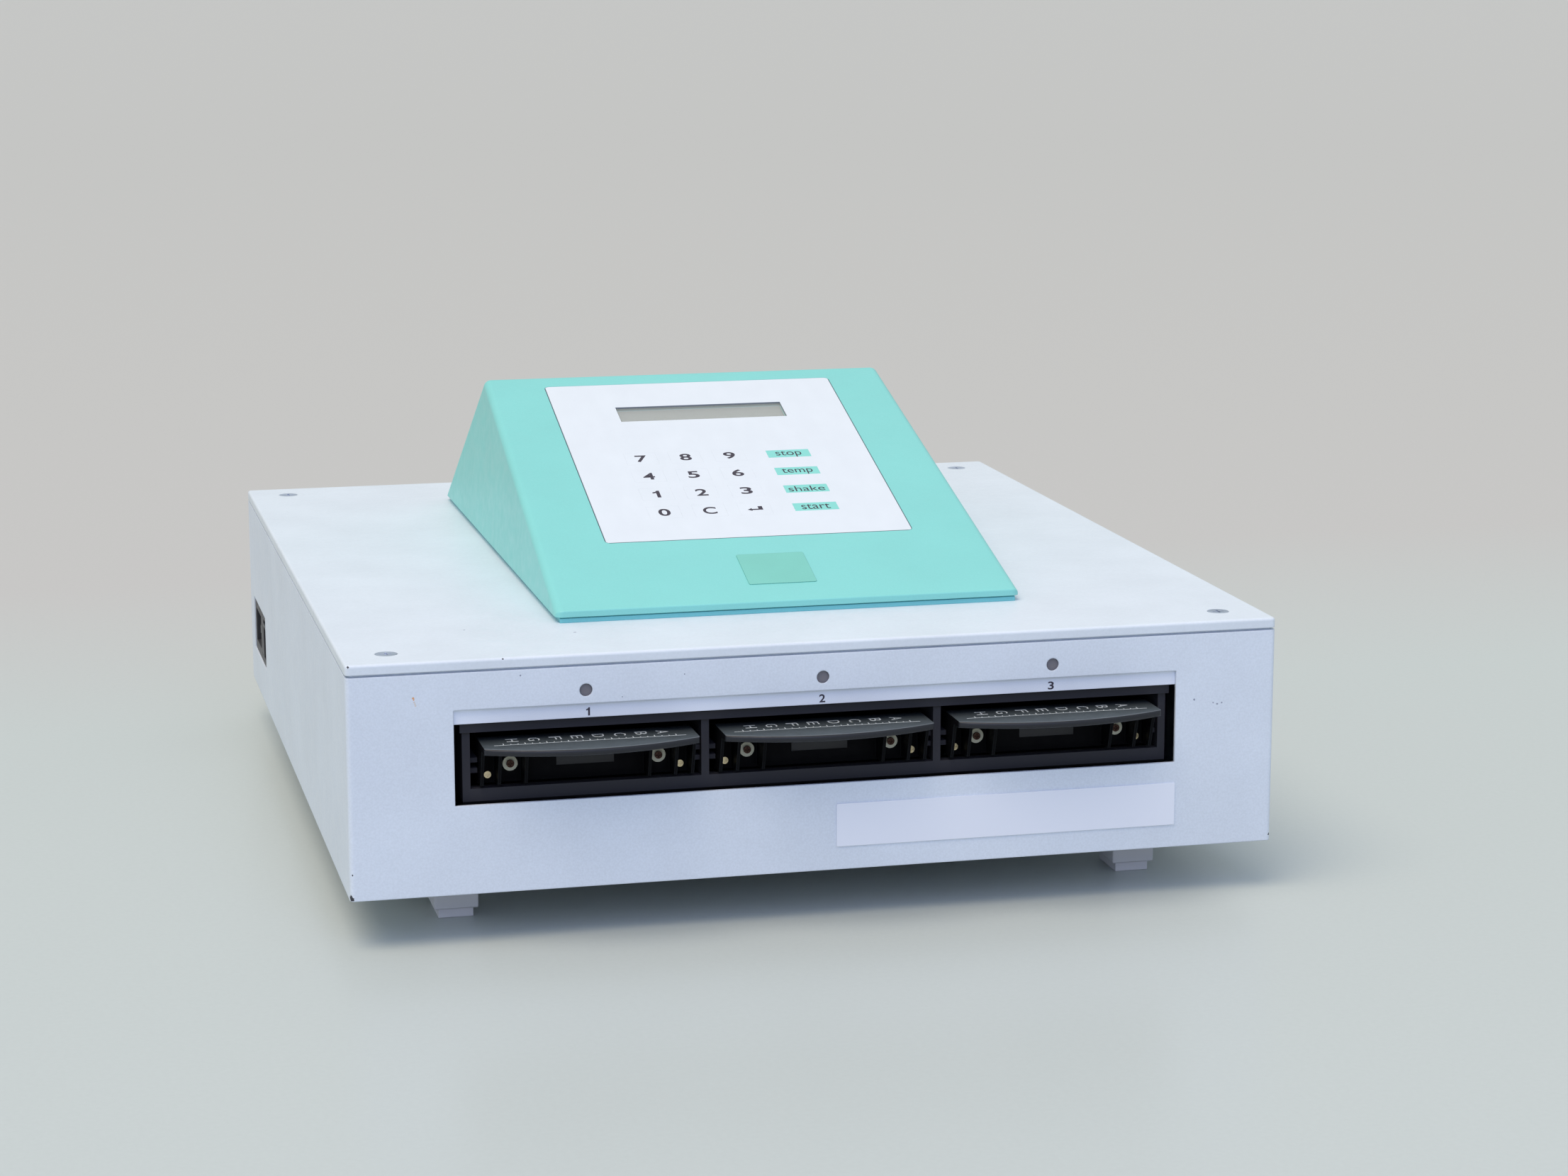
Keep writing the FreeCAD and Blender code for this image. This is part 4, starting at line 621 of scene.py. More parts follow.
class Paints:
    """The finishes of this instrument, by the piece that wears each."""

    chip, speck = (58, 58, 64), (150, 156, 172)
    side, front, top = -200, -209.5, 120.5
    case = PowderCoat(
        "case_enamel", (217, 225, 236), 0.46,
        marks=(
            (chip, (
                (-199.8, -209.2, 114.2, 0.5), (-199.6, -209, 23, 1.4), (-199, front, 33, 0.4),
                (199.4, -209, 24.5, 0.7))),
            (speck, (
                (-128.4, front, 112.9, 0.4), (-86.1, front, 101.5, 0.3), (-60, front, 109.7, 0.3),
                (172, front, 84.6, 0.5), (174, front, 84.0, 0.5), (176, front, 84.4, 0.4),
                (163.5, front, 86.4, 0.4))),
            ((222, 166, 122), ((-172.6, front, 105.6, 0.5), (-172.3, front, 104.9, 0.35))),
            ((214, 204, 196), (
                (-172.0, front, 104.0, 0.45), (-171.8, front, 103.2, 0.4), (-171.6, front, 102.4, 0.4))),
        ),
    )
    lid = PowderCoat(
        "lid_enamel", (219, 227, 235), 0.42, peel=1.1 * MM, depth=0.012 * MM, mottle=0.02,
        marks=(
            (chip, (
                (-198.6, -209.2, 119.9, 0.6), (-199.6, -209.1, 115.5, 0.7), (side, -207.6, 115.9, 0.6),
                (-135.6, -209.2, 120.0, 0.5))),
            (speck, ((-98, -167, top, 0.6), (-142.5, -151, top, 0.6))),
        ),
    )
    console = PowderCoat("console_enamel", (134, 211, 205), 0.4, peel=0.8 * MM, depth=0.01 * MM, mottle=0.015,
                         cloud=0.02, bend=0.3 * MM)
    console_base = PowderCoat("console_base_enamel", (118, 198, 204), 0.42, peel=0.8 * MM, depth=0.01 * MM,
                              mottle=0.015, cloud=0.02, bend=0.3 * MM)
    badge = PaintedEdge("badge_film", (124, 200, 186), 0.45, rim=(84, 140, 140), reach=0.3 * MM)
    film = Film("keypad_film", (224, 230, 236), 0.42)
    film_edge = Film("keypad_film_teal", (136, 216, 206), 0.42)
    key_ink = Ink("keypad_ink", (58, 50, 62), 0.5)
    strip = Moulding("number_strip_white", (228, 234, 246), 0.45, speckle=0.02, cloud=0.02)
    strip_ink = Ink("strip_ink", (56, 50, 66), 0.5)
    # the label's darker rim is painted shade along its edges
    label = PaintedEdge("label_film", (218, 222, 240), 0.4, rim=(150, 156, 180), reach=0.3 * MM)
    handle_ink = Ink("handle_ink", (206, 212, 212), 0.5)
    tray = Moulding("tray_black", (13, 13, 16), 0.5, worn=(44, 50, 53), bend=0.4 * MM, gloss=0.05)
    # lit copies of the tray's black plastic: the handle's dark grey top with a painted highlight growing to
    # the front, a brighter painted highlight on its rounded front edge, and a lighter lit tone on the lip's
    # face
    handle = HighlitMoulding("handle_painted_highlight", (30, 34, 36), 0.38, grain=0.7 * MM, near=(84, 92, 96),
                           start=-194 * MM, end=-222 * MM)
    handle_edge_highlight = Moulding("handle_edge_highlight", (96, 102, 106), 0.4, grain=0.7 * MM)
    handle_lip_lit = Moulding("handle_lip_lit", (34, 36, 41), 0.42, grain=0.7 * MM, gloss=0.35)
    tray_set = (tray, handle, handle_edge_highlight, handle_lip_lit)
    plate = PaintedEdge("plate_blank", (24, 24, 31), 0.5, rim=(14, 14, 18), reach=0.2 * MM)
    frame = Moulding("frame_black", (8, 8, 11), 0.6, worn=(18, 18, 22), bend=0.5 * MM, gloss=0.0)
    nylon = Moulding("washer_nylon", (226, 224, 202), 0.5, worn=(236, 236, 220))
    plastic = Moulding("black_plastic", (32, 32, 35), 0.45, worn=(84, 84, 88))
    module_rim = Moulding("module_rim", (58, 58, 62), 0.45, worn=(120, 122, 126))
    module_grey = Moulding("fuse_drawer_grey", (50, 50, 54), 0.45, worn=(110, 112, 116))
    rocker = Moulding("rocker_black", (20, 20, 22), 0.3, worn=(70, 70, 74))
    winding = Moulding("winding_tape", (198, 164, 84), 0.5, grain=0.8 * MM)
    foot = Moulding("foot_plastic", (214, 208, 218), 0.55, worn=(216, 212, 222), bend=0.6 * MM)
    foot_pad = Moulding("foot_rubber", (206, 200, 212), 0.7, grain=0.8 * MM, worn=(216, 212, 222),
                        bend=0.6 * MM)
    belt = Moulding("belt_rubber", (28, 28, 28), 0.75, grain=0.9 * MM)
    bezel = Moulding("display_bezel", (104, 110, 120), 0.5, grain=0.3 * MM)
    steel = BareMetal("plated_steel", (186, 188, 190), 0.32)
    lid_screw = BareMetal("lid_screw_zinc", (198, 205, 216), 0.5)
    dark_steel = BareMetal("browned_steel", (70, 52, 46), 0.42)
    brass = BareMetal("brass", (104, 88, 58), 0.42)
    aluminium = BareMetal("aluminium", (196, 198, 200), 0.38)
    # near-black metal for the platform and heated bases deep in the slot, darkened to the slot's shade:
    # painted shade
    slot_shade_metal = BareMetal("slot_shade_black", (34, 34, 36), 0.42)
    motor = BareMetal("motor_can", (150, 152, 156), 0.36, lines=(1.0, 1.0, 20.0))
    core = Moulding("core_laminations", (92, 92, 98), 0.5, grain=0.6 * MM)
    board = BoardLacquer("board_green", (24, 86, 52), 0.35)
    window = ClearPlate("window_clear", (226, 232, 238), 0.06)


@dataclass
class Piece:
    """One visible piece while it is made."""

    name: str
    body: str
    slot: str
    finishes: tuple[Finish, ...]
    stands_for: tuple[str, ...] = ()
    even: bool = False
    form: Form = field(default_factory=bmesh.new)

    @classmethod
    def of(cls, node: str, name: str, slot: str, *finishes: Finish, body: str = "case",
           even: bool = False) -> "Piece":
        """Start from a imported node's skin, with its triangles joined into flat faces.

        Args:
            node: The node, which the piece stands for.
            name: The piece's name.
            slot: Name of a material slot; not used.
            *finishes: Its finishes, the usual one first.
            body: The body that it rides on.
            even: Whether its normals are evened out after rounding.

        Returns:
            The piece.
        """
        piece = cls(name, body, slot, finishes, (node,), even)
        form = piece.form
        form.from_mesh(frame["nodes"][node].data)
        bmesh.ops.remove_doubles(form, verts=form.verts, dist=2e-6)
        bmesh.ops.dissolve_limit(form, angle_limit=FLAT, verts=form.verts[:], edges=form.edges[:])
        return piece

    def soften(self, width: float, wanted: Callable[[Edge], bool], segments: int = 3) -> "Piece":
        """Round sharp edges.

        Args:
            width: Width of the rounding in metres.
            wanted: Says whether an edge is rounded.
            segments: Steps round each edge.

        Returns:
            The piece itself.
        """
        solid = [edge for edge in self.form.edges if edge.is_manifold]
        edges = [edge for edge in solid if edge.calc_face_angle(0) > SHARP and wanted(edge)]
        round_off(self.form, edges, width, segments)
        return self

    def recolour(self, index: int, wanted: Callable[[Face], bool]) -> "Piece":
        """Give faces another of the piece's finishes.

        Args:
            index: Number of the finish.
            wanted: Says whether a face takes it.

        Returns:
            The piece itself.
        """
        for face in self.form.faces:
            if wanted(face):
                face.material_index = index
        return self

    def join(self, other: Form, place: Matrix, index: int = 0) -> "Piece":
        """Add another form to the piece.

        Args:
            other: The form, which is used up.
            place: Where it goes.
            index: Number of the finish that it takes.

        Returns:
            The piece itself.
        """
        bmesh.ops.transform(other, matrix=place, verts=other.verts)
        for face in other.faces:
            face.material_index = index
        loose = settled("loose", other)
        self.form.from_mesh(loose)
        bpy.data.meshes.remove(loose)
        return self

    def place(self) -> bpy.types.Object:
        """Make the piece's object and let it ride on its body.

        Returns:
            The object.
        """
        mesh = settled(self.name, self.form)
        held = mesh.attributes.get("custom_normal")
        if held is not None:
            mesh.attributes.remove(held)
        for finish in self.finishes:
            mesh.materials.append(finish.material())
        mesh.shade_smooth()
        mesh.set_sharp_from_angle(angle=SMOOTH)
        piece = shown(self.name, mesh)
        if self.even:
            even = piece.modifiers.new("even_normals", "WEIGHTED_NORMAL")
            even.keep_sharp = True
            even.weight = 100
        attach(piece, self.body)
        if self.stands_for:
            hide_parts(*self.stands_for)
        LOG.info("%s: %d faces on %s", self.name, len(mesh.polygons), self.body)
        return piece


def wear(node: str, finish: Finish) -> None:
    """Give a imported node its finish.

    Args:
        node: The node's name.
        finish: The finish.
    """
    for material in frame["nodes"][node].material_slots:
        material.material = finish.material()
    LOG.info("%s: packed shape, %s", node, finish.name)


class Weight(Enum):
    """How heavy printed letters are: how far each stroke is grown, for letters one unit tall."""

    REGULAR = 0.0
    BOLD = 0.021


def fitted(form: Form, wide: float, tall: float, thick: float) -> Form:
    """Scale a flat form to a size and centre it on the origin, resting on the XY plane.

    Args:
        form: The form.
        wide: Its width in metres.
        tall: Its height in metres.
        thick: Its thickness in metres.

    Returns:
        The same form.
    """
    low, high = extent([vert.co for vert in form.verts])
    span = high - low
    middle = Vector(((low.x + high.x) / 2, (low.y + high.y) / 2, low.z))
    sized = Matrix.Diagonal((wide / span.x, tall / span.y, thick / span.z, 1.0)) @ Matrix.Translation(-middle)
    bmesh.ops.transform(form, matrix=sized, verts=form.verts)
    return form


def lettering(words: str, weight: Weight) -> Form:
    """Printed letters as a thin form.

    Args:
        words: What is printed.
        weight: How heavy the strokes are.

    Returns:
        The form, of any size.
    """
    curve = bpy.data.curves.new("lettering", "FONT")
    curve.body = words
    curve.offset = weight.value
    curve.extrude = 0.01
    holder = shown("lettering", curve)
    flat = bpy.data.meshes.new_from_object(holder)
    form = bmesh.new()
    form.from_mesh(flat)
    bmesh.ops.remove_doubles(form, verts=form.verts, dist=1e-5)
    bpy.data.objects.remove(holder)
    bpy.data.curves.remove(curve)
    bpy.data.meshes.remove(flat)
    return form


def outline(points: Iterable[tuple[float, float]]) -> Form:
    """A thin form with a straight-sided outline.

    Args:
        points: The outline's corners, anticlockwise.

    Returns:
        The form, 0.02 thick.
    """
    form = bmesh.new()
    face = form.faces.new([form.verts.new((x, y, 0.0)) for x, y in points])
    grown = bmesh.ops.extrude_face_region(form, geom=[face])
    raised = [item for item in grown["geom"] if isinstance(item, bmesh.types.BMVert)]
    bmesh.ops.translate(form, vec=(0.0, 0.0, 0.02), verts=raised)
    bmesh.ops.recalc_face_normals(form, faces=form.faces)
    return form


def figure(text: str) -> Form:
    """A printed figure as a thin form, where a 1 is drawn with a short flag and no foot.

    Args:
        text: The figure.

    Returns:
        The form, of any size.
    """
    if text != "1":
        return lettering(text, Weight.BOLD)
    flag = [(0.37, 1.0), (0.28, 0.86), (0.06, 0.78), (0.06, 0.62), (0.3, 0.68)]
    return outline([(0.3, 0.0), (0.55, 0.0), (0.55, 1.0), *flag])


def slab(wide: float, long: float, thick: float, rounding: float = 0.0) -> Form:
    """A flat plate that rests on the XY plane, with its top rim rounded.

    Args:
        wide: Size along X in metres.
        long: Size along Y in metres.
        thick: Size along Z in metres.
        rounding: Width of the rounding of its top rim in metres.

    Returns:
        The form.
    """
    form = bmesh.new()
    sized = Matrix.Translation((0.0, 0.0, thick / 2)) @ Matrix.Diagonal((wide, long, thick, 1.0))
    bmesh.ops.create_cube(form, size=1.0, matrix=sized)
    if rounding:
        rim = [edge for edge in form.edges if min(vert.co.z for vert in edge.verts) > 0.5 * thick]
        round_off(form, rim, rounding, 2)
    return form


class PanelPlane:
    """The sloping face of the console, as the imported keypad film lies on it."""

    def __init__(self) -> None:
        """Read the slope from a key's stroke and the film's box."""
        stroke = next(joint["axis"] for joint in frame["joints"] if joint["name"] == "key_one_press")
        self.slope = math.atan2(stroke[1], -stroke[2])
        self.along = Vector((0.0, math.cos(self.slope), math.sin(self.slope)))
        self.out = Vector((0.0, -math.sin(self.slope), math.cos(self.slope)))
        low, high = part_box("keypad_overlay")
        deep, tall = high.y - low.y, high.z - low.z
        double = math.cos(2 * self.slope)
        self.length = (deep * self.along.y - tall * self.along.z) / double
        self.film = (tall * self.along.y - deep * self.along.z) / double
        self.origin = Vector(((low.x + high.x) / 2, low.y, high.z - self.length * self.along.z))

    def matrix(self, x: float, up: float, lift: float = 0.0) -> Matrix:
        """A place on the face, with X to the right, Y up the slope and Z away from it.

        Args:
            x: Distance to the right of the film's middle in metres.
            up: Distance up the slope from the film's lower edge in metres.
            lift: Height above the face in metres.

        Returns:
            The place.
        """
        point = self.origin + Vector((x, 0.0, 0.0)) + self.along * up + self.out * lift
        turn = Matrix((Vector((1.0, 0.0, 0.0)), self.along, self.out)).transposed()
        return Matrix.Translation(point) @ turn.to_4x4()

    def flat(self, point: Vector) -> Vector:
        """A point's distances right, up the slope and away from the face, in metres."""
        away = point - self.origin
        return Vector((away.x, away.dot(self.along), away.dot(self.out)))


@dataclass
class CasePanels:
    """The case, its lid and the things set into its front, with places and sizes in millimetres."""

    lenses: tuple[Point, ...] = ((-101.3, -208.7, 105.2), (-0.9, -208.7, 105.2), (99.5, -208.7, 105.2))
    figures: tuple[tuple[str, float], ...] = (("1", -100.3), ("2", -0.9), ("3", 99.3))
    figure_height: float = 95.8
    figure_size: tuple[float, float] = (2.6, 3.5)
    one_share: float = 0.62
    ink: float = 0.04
    sunk: float = 0.01

    def build(self) -> None:
        """Dress the case and set its front pieces."""
        wear("case_tub", Paints.case)
        wear("top_lid", Paints.lid)
        wear("lid_screws", Paints.lid_screw)
        wear("lid_brackets", Paints.steel)
        self.strip()
        # each lens is painted darker towards its rim, as shade from the hole it sits in
        wear("indicator_lenses", LampLens("lamp_lens", (112, 110, 118), 0.3, middles=self.lenses))
        Piece.of("front_label", "front_label_plate", "label_film", Paints.label).place()

    def strip(self) -> None:
        """Set the white strip with its bay numbers."""
        wear("number_strip", Paints.strip)
        low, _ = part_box("number_strip")
        wide, tall = self.figure_size
        upright = Matrix.Rotation(math.pi / 2, 4, "X")
        printed = Piece("bay_numbers", "case", "strip_white", (Paints.strip_ink,))
        for text, x in self.figures:
            share = self.one_share if text == "1" else 1.0
            place = Matrix.Translation((x * MM, low.y + self.sunk * MM, self.figure_height * MM)) @ upright
            printed.join(fitted(figure(text), wide * share * MM, tall * MM, self.ink * MM), place)
        printed.place()


@dataclass
class Feet:
    """Four feet, each a block with a narrower rubber pad."""

    block_round: float = 0.8 * MM
    pad_round: float = 0.4 * MM

    def build(self) -> None:
        """Round and dress the feet."""
        sets = (
            ("foot_blocks", "foot_block_set", "foot_plastic", Paints.foot, self.block_round, 4),
            ("foot_pads", "foot_pad_set", "foot_rubber", Paints.foot_pad, self.pad_round, 3),
        )
        for node, name, slot, finish, width, segments in sets:
            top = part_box(node)[1].z
            piece = Piece.of(node, name, slot, finish, even=True)
            piece.soften(width, lambda edge: self.outer(edge, top), segments).place()
        wear("foot_screws", Paints.steel)

    @staticmethod
    def outer(edge: Edge, top: float) -> bool:
        """Whether an edge isn't on the top rim or, being short, round the screw's bore."""
        return edge.calc_length() > 3 * MM and min(vert.co.z for vert in edge.verts) < top - CLOSE


@dataclass
class Console:
    """The teal console with its base, its small plate and the screws inside."""

    def build(self) -> None:
        """Dress the console."""
        wear("console_shell", Paints.console)
        wear("console_base", Paints.console_base)
        wear("console_screws", Paints.steel)
        Piece.of("badge_plate", "badge_blank", "console_teal", Paints.badge).place()


@dataclass
class Keypad:
    """The keypad film with its printed keys and the board behind it.

    Each word has its width, its height and how far it sits above the key's middle, in millimetres.
    """

    panel: PanelPlane
    gap: float = 0.08 * MM
    ink: float = 0.03 * MM
    sunk: float = 0.01 * MM
    digit: tuple[float, float] = (5.5 * MM, 6.8 * MM)
    enter: tuple[float, float] = (7.2 * MM, 4.3 * MM)
    shares: dict[str, float] = field(default_factory=lambda: {"1": 0.6, "C": 1.14})
    names: str = "zero one two three four five six seven eight nine clear"
    prints: str = "0123456789C"
    words: dict[str, tuple[float, float, float]] = field(default_factory=lambda: {
        "start": (13.4, 4.9, 0.0), "shake": (17.2, 5.1, 0.0),
        "temp": (14.6, 6.0, -0.5), "stop": (12.4, 6.2, -0.6),
    })

    def build(self) -> None:
        """Dress the film and make each key."""
        low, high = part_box("keypad_overlay")
        ways = (self.panel.origin, self.panel.along, self.panel.out)
        border = (*(tuple(way) for way in ways), (high.x - low.x) / 2)
        # the border paints a shadow line inside the film's sides and lower edge
        wear("keypad_overlay", replace(Paints.film, name="keypad_film_bordered", border=border))
        wear("keypad_backing", BoardLacquer("keypad_board", (30, 84, 54), 0.4, turn=-self.panel.slope))
        for name, text in zip(self.names.split(), self.prints):
            wide, tall = self.digit
            form = fitted(figure(text), self.shares.get(text, 1.0) * wide, tall, self.ink)
            self.key(name, Paints.film, "key_white", form)
        self.key("enter", Paints.film, "key_white", fitted(self.arrow(), *self.enter, self.ink))
        for name, (wide, tall, drop) in self.words.items():
            form = fitted(lettering(name, Weight.REGULAR), wide * MM, tall * MM, self.ink)
            self.key(name, Paints.film_edge, "key_teal", form, drop * MM)

    @staticmethod
    def arrow() -> Form:
        """An arrow to the left with a short riser at its tail, as a thin form."""
        head = [(2.1, 2.7), (0.0, 1.3), (2.1, 0.0)]
        return outline([*head, (2.1, 0.8), (7.2, 0.8), (7.2, 4.3), (5.2, 4.3), (5.2, 1.9), (2.1, 1.9)])

    def key(self, name: str, film: Finish, slot: str, glyph: Form, drop: float = 0.0) -> None:
        """Make one key, its cap grown to all but meet the film round it.

        Args:
            name: The key's name in the frame.
            film: The finish of its face.
            slot: Name of a material slot; not used.
            glyph: What is printed on it.
            drop: How far the print sits from the key's middle, up the slope.
        """
        node = f"key_{name}"
        piece = Piece.of(node, f"{node}_cap", slot, film, Paints.key_ink, body=node)
        flats = {vert: self.panel.flat(vert.co) for vert in piece.form.verts}
        cap = [vert for vert, flat in flats.items() if flat.z > -self.panel.film - CLOSE]
        low, high = extent([flats[vert] for vert in cap])
        middle, half = (low + high) / 2, (high - low) / 2
        for vert in cap:
            side = flats[vert] - middle
            for index, way in enumerate((Vector((1.0, 0.0, 0.0)), self.panel.along)):
                if abs(abs(side[index]) - half[index]) < CLOSE:
                    vert.co += way * math.copysign(self.gap, side[index])
        piece.join(glyph, self.panel.matrix(middle.x, middle.y + drop, -self.sunk), 1).place()


@dataclass
class Display:
    """The unlit character display under its window."""

    panel: PanelPlane
    air: float = 0.06 * MM
    glass: tuple[float, float] = (84.0 * MM, 21.0 * MM)
    rim: float = 2.0 * MM
    sunk: float = 0.25 * MM
    shade: tuple[float, float] = (178.0 * MM, 184.0 * MM)

    def build(self) -> None:
        """Set the window, the module and the glass between them."""
        panel, turn = self.panel, -self.panel.slope
        wear("display_window", Paints.window)
        wear("display_module", BoardLacquer("display_board", (28, 78, 56), 0.4, turn=turn))
        low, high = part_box("display_window")
        under = min(panel.flat(vert.co).z for vert in frame["nodes"]["display_window"].data.vertices)
        rest = max(panel.flat(vert.co).z for vert in frame["nodes"]["display_module"].data.vertices)
        middle = panel.flat((low + high) / 2)
        thick = under - self.air - rest
        # the glass darkens between these heights as painted shade under the window's rim
        shade = {"low": self.shade[0], "high": self.shade[1]}
        liquid = LiquidCrystal("display_glass", (116, 115, 101), 0.4, turn=turn, **shade)
        piece = Piece("display_glass", "case", "display_grey", (Paints.bezel, liquid))
        form = slab(*self.glass, thick)
        top = max(form.faces, key=lambda face: face.calc_center_median().z)
        bmesh.ops.inset_individual(form, faces=[top], thickness=self.rim, depth=0.0)
        bmesh.ops.translate(form, vec=(0.0, 0.0, -self.sunk), verts=top.verts[:])
        piece.join(form, panel.matrix(middle.x, middle.y, rest))
        half = rest + thick / 2
        above = [face for face in piece.form.faces if panel.flat(face.calc_center_median()).z > half]
        max(above, key=lambda face: face.calc_area()).material_index = 1
        piece.place()


@dataclass
class PlateTray:
    """One pull-out tray with its lettered handle, washers and screws."""

    number: int
    pitch: float = 9.0 * MM
    rows: str = "HGFEDCBA"
    letter: tuple[float, float] = (4.8 * MM, 4.9 * MM)
    letters_at: float = -206.5 * MM
    rule_at: float = -214.0 * MM
    rule: tuple[float, float] = (80.0 * MM, 0.45 * MM)
    tick_wide: float = 0.4 * MM
    ticks: tuple[float, float, float] = (2.6 * MM, 1.5 * MM, 1.5 * MM)
    ink: float = 0.03 * MM
    sunk: float = 0.005 * MM
    wall_at: float = 31.0 * MM
    plate_at: tuple[float, float] = (0.5 * MM, 74.4 * MM)
    plate: tuple[float, float, float, float] = (24.4 * MM, 6.2 * MM, 0.3 * MM, 0.1 * MM)
    lip_deep: float = 9.6 * MM
    lip_tall: float = 3.2 * MM
    lip_round: float = 1.1 * MM
    # finish number and depth of each band of painted light down from the handle's top
    lit_bands: tuple[tuple[int, float], ...] = ((3, 3.0 * MM), (2, 0.5 * MM), (1, 0.01 * MM))
    dark_from: float = 71.95 * MM
    dark_within: float = 35.0 * MM

    def build(self) -> None:
        """Dress the tray and print its handle."""
        node = f"tray_{self.number}"
        low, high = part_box(node)
        top, middle = high.z, (low.x + high.x) / 2
        tray = Piece.of(node, f"{node}_shell", "tray_plastic", *Paints.tray_set, body=node, even=True)
        tray.soften(self.lip_round, lambda edge: self.lip(edge, low.y, top))
        # painted light on the handle in bands from its top: a lit tone over the first 3 mm, a painted
        # highlight on the rounded edge, and the highlighted top
        for index, drop in self.lit_bands:
            tray.recolour(index, lambda face: min(vert.co.z for vert in face.verts) > top - drop)
        tray.place()
        right, height = self.plate_at
        place = Matrix.Translation((middle + right, low.y + self.wall_at, height))
        plate = Piece(f"{node}_plate", node, "tray_plastic", (Paints.plate,))
        plate.join(slab(*self.plate), place @ Matrix.Rotation(math.pi / 2, 4, "X")).place()
        wear(f"{node}_washers", Paints.nylon)
        metals = (Paints.brass, Paints.dark_steel)
        screws = Piece.of(f"{node}_screws", f"{node}_screw_set", "brass", *metals, body=node)
        screws.recolour(1, lambda face: self.dark(face.calc_center_median(), middle)).place()
        self.print(node, middle, top)

    def lip(self, edge: Edge, front: float, top: float) -> bool:
        """Whether an edge lies round the handle's bowed front."""
        back, under = front + self.lip_deep, top - self.lip_tall
        return all(vert.co.z > under and vert.co.y < back for vert in edge.verts)

    def dark(self, point: Vector, middle: float) -> bool:
        """Whether a point is on a washer's screw, not on a corner screw."""
        return point.z > self.dark_from or abs(point.x - middle) < self.dark_within

    def print(self, node: str, middle: float, top: float) -> None:
        """Print the row letters and the rule in front of them.

        Args:
            node: The tray's name.
            middle: The tray's middle along X.
            top: Height of the handle.
        """
        turn = Matrix(((0.0, 1.0, 0.0), (-1.0, 0.0, 0.0), (0.0, 0.0, 1.0))).to_4x4()
        height = top - self.sunk
        printed = Piece(f"{node}_letters", node, "tray_plastic", (Paints.handle_ink,))
        for step, text in enumerate(self.rows):
            x = middle + (step - (len(self.rows) - 1) / 2) * self.pitch
            form = fitted(lettering(text, Weight.REGULAR), *self.letter, self.ink)
            printed.join(form, Matrix.Translation((x, self.letters_at, height)) @ turn)
        printed.join(slab(*self.rule, self.ink), Matrix.Translation((middle, self.rule_at, height)))
        shares = len(self.ticks)
        count = shares * len(self.rows) + 1
        for step in range(count):
            x = middle + (step - (count - 1) / 2) * self.pitch / shares
            long = self.ticks[step % shares]
            tick = slab(self.tick_wide, long, self.ink)
            printed.join(tick, Matrix.Translation((x, self.rule_at + long / 2, height)))
        printed.place()


@dataclass
class Carriage:
    """The shaken frame with its plates."""

    def build(self) -> None:
        """Dress the shaken parts."""
        wear("bay_frame", Paints.frame)
        # the platform and heated bases take near-black as painted shade of the slot
        wear("shaker_platform", Paints.slot_shade_metal)
        wear("heated_bases", Paints.slot_shade_metal)
        wear("heated_covers", Paints.plastic)


@dataclass
class Drive:
    """Cranks, motor, pulley, belt and their plate."""

    def build(self) -> None:
        """Dress the drive."""
        for node in ("drive_crank", "idler_crank_left", "idler_crank_right", "motor_pulley"):
            wear(node, Paints.aluminium)
        wear("motor", Paints.motor)
        wear("drive_belt", Paints.belt)
        wear("drive_plate", Paints.steel)


@dataclass
class Electronics:
    """The control board and the transformer."""

    chips_from: float = 9.8 * MM
    spacers_to: float = 7.6 * MM
    core_half: float = 20.2 * MM

    def build(self) -> None:
        """Dress the electronics."""
        low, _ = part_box("main_board")
        finishes = (Paints.board, Paints.plastic, Paints.brass)
        board = Piece.of("main_board", "control_board", "board_green", *finishes)
        board.recolour(1, lambda face: face.calc_center_median().z > low.z + self.chips_from)
        board.recolour(2, lambda face: face.calc_center_median().z < low.z + self.spacers_to).place()
        near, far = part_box("transformer")
        middle = (near.y + far.y) / 2
        core = Piece.of("transformer", "mains_transformer", "core_steel", Paints.core, Paints.winding)
        core.recolour(1, lambda face: abs(face.calc_center_median().y - middle) > self.core_half).place()


@dataclass
class MainsModule:
    """The socket, fuse drawer and rocker switch in the left side."""

    socket_at: float = 191.2 * MM
    rim: float = 0.1 * MM
    blades_from: float = 0.4 * MM
    blades_to: float = 15.4 * MM
    blades_wide: float = 21.2 * MM
    blades_tall: float = 14.4 * MM

    def build(self) -> None:
        """Dress the mains module."""
        low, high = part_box("power_inlet")
        socket = Vector((low.x, self.socket_at, (low.z + high.z) / 2))
        finishes = (Paints.plastic, Paints.module_rim, Paints.steel)
        shell = Piece.of("power_inlet", "mains_module", "black_plastic", *finishes)
        shell.recolour(1, lambda face: face.calc_center_median().x < low.x + self.rim)
        shell.recolour(2, lambda face: self.blade(face.calc_center_median() - socket)).place()
        wear("fuse_drawer", Paints.module_grey)
        wear("power_rocker", Paints.rocker)

    def blade(self, away: Vector) -> bool:
        """Whether a point, taken from the middle of the socket's mouth, lies on one of its blades."""
        beside = abs(away.y) < self.blades_wide / 2 and abs(away.z) < self.blades_tall / 2
        return beside and self.blades_from < away.x < self.blades_to


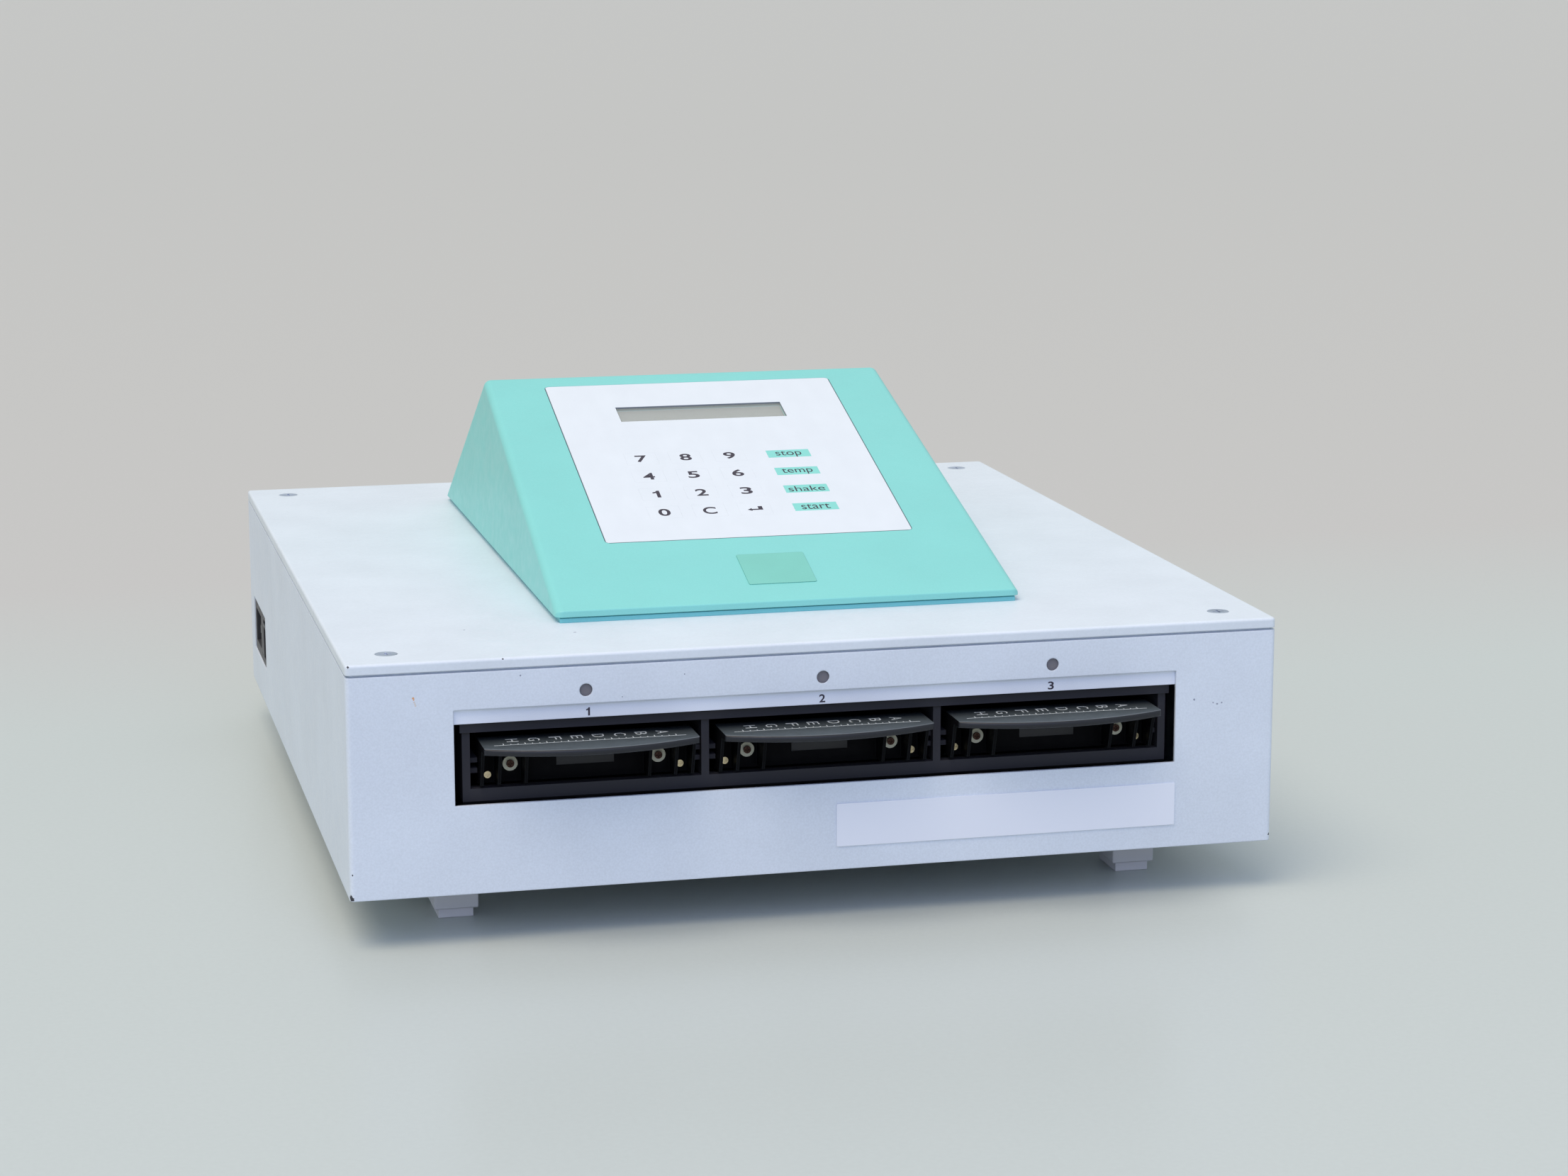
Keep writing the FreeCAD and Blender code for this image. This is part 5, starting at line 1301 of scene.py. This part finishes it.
@dataclass
class Studio:
    """Floor, light and camera."""

    lens: float = 79.54
    place: Point = (-349.92, -1575.80, 422.56)
    ahead: Point = (0.23178, 0.95314, -0.19441)
    up: Point = (0.04688, 0.18867, 0.98092)
    sun_from: Point = (-0.36, -0.27, 1.0)
    sun_tone: Colour = (255, 241, 221)
    sun_power: float = 1.85
    sun_spread: float = 42.0
    fill_from: Point = (-300, -2200, 1500)
    fill_at: Point = (0, -100, 60)
    fill_tone: Colour = (164, 178, 255)
    fill_power: float = 15.0
    fill_size: float = 1.8
    sky_tone: Colour = (231, 243, 252)
    sky_power: float = 0.66

    def build(self) -> None:
        """Set the floor, the light and the camera."""
        self.floor()
        self.sky()
        self.sun()
        self.fill()
        self.camera()

    def floor(self) -> None:
        """A wide pale floor under the feet."""
        form = bmesh.new()
        bmesh.ops.create_circle(form, cap_ends=True, segments=64, radius=45.0)
        mesh = settled("floor", form)
        mesh.materials.append(FloorFinish("floor_top", (194, 200, 196), 0.3).material())
        shown("floor", mesh)

    def sky(self) -> None:
        """Even light from all round."""
        world = bpy.data.worlds.new("studio")
        world.use_nodes = True
        back = world.node_tree.nodes["Background"]
        back.inputs["Color"].default_value = linear(self.sky_tone)
        back.inputs["Strength"].default_value = self.sky_power
        bpy.context.scene.world = world

    def sun(self) -> None:
        """Broad soft light from above, a little from the left and from the front."""
        lamp = self.lamp("overhead", "SUN", self.sun_tone, self.sun_power, -Vector(self.sun_from))
        lamp.data.angle = math.radians(self.sun_spread)

    def fill(self) -> None:
        """A soft square lamp before the instrument."""
        way = Vector(self.fill_at) - Vector(self.fill_from)
        lamp = self.lamp("front_fill", "AREA", self.fill_tone, self.fill_power, way)
        lamp.data.size = self.fill_size
        lamp.location = Vector(self.fill_from) * MM

    @staticmethod
    def lamp(name: str, kind: str, tone: Colour, power: float, way: Vector) -> bpy.types.Object:
        """Add a lamp.

        Args:
            name: Its name.
            kind: Its type.
            tone: Its colour.
            power: Its strength, or its power in watts.
            way: The direction that it shines in.

        Returns:
            The lamp.
        """
        data = bpy.data.lights.new(name, kind)
        data.energy = power
        data.color = linear(tone)[:3]
        lamp = shown(name, data)
        lamp.rotation_euler = way.to_track_quat("-Z", "Y").to_euler()
        return lamp

    def camera(self) -> None:
        """The camera at the photograph's place."""
        data = bpy.data.cameras.new("camera")
        data.lens = self.lens
        data.clip_end = 200.0
        camera = shown("camera", data)
        ahead = Vector(self.ahead).normalized()
        right = ahead.cross(Vector(self.up)).normalized()
        turn = Matrix((right, right.cross(ahead), -ahead)).transposed()
        camera.matrix_world = Matrix.Translation(Vector(self.place) * MM) @ turn.to_4x4()
        bpy.context.scene.camera = camera


def main() -> None:
    """Build the instrument's looks and its studio."""
    logging.basicConfig(level=logging.INFO, format="%(message)s")
    panel = PanelPlane()
    trays = [PlateTray(number) for number in (1, 2, 3)]
    parts = [CasePanels(), Feet(), Console(), Keypad(panel), Display(panel), *trays]
    parts += [Carriage(), Drive(), Electronics(), MainsModule(), Studio()]
    for part in parts:
        part.build()
    bpy.context.scene.view_settings.view_transform = "Standard"


if __name__ == "__main__":
    main()
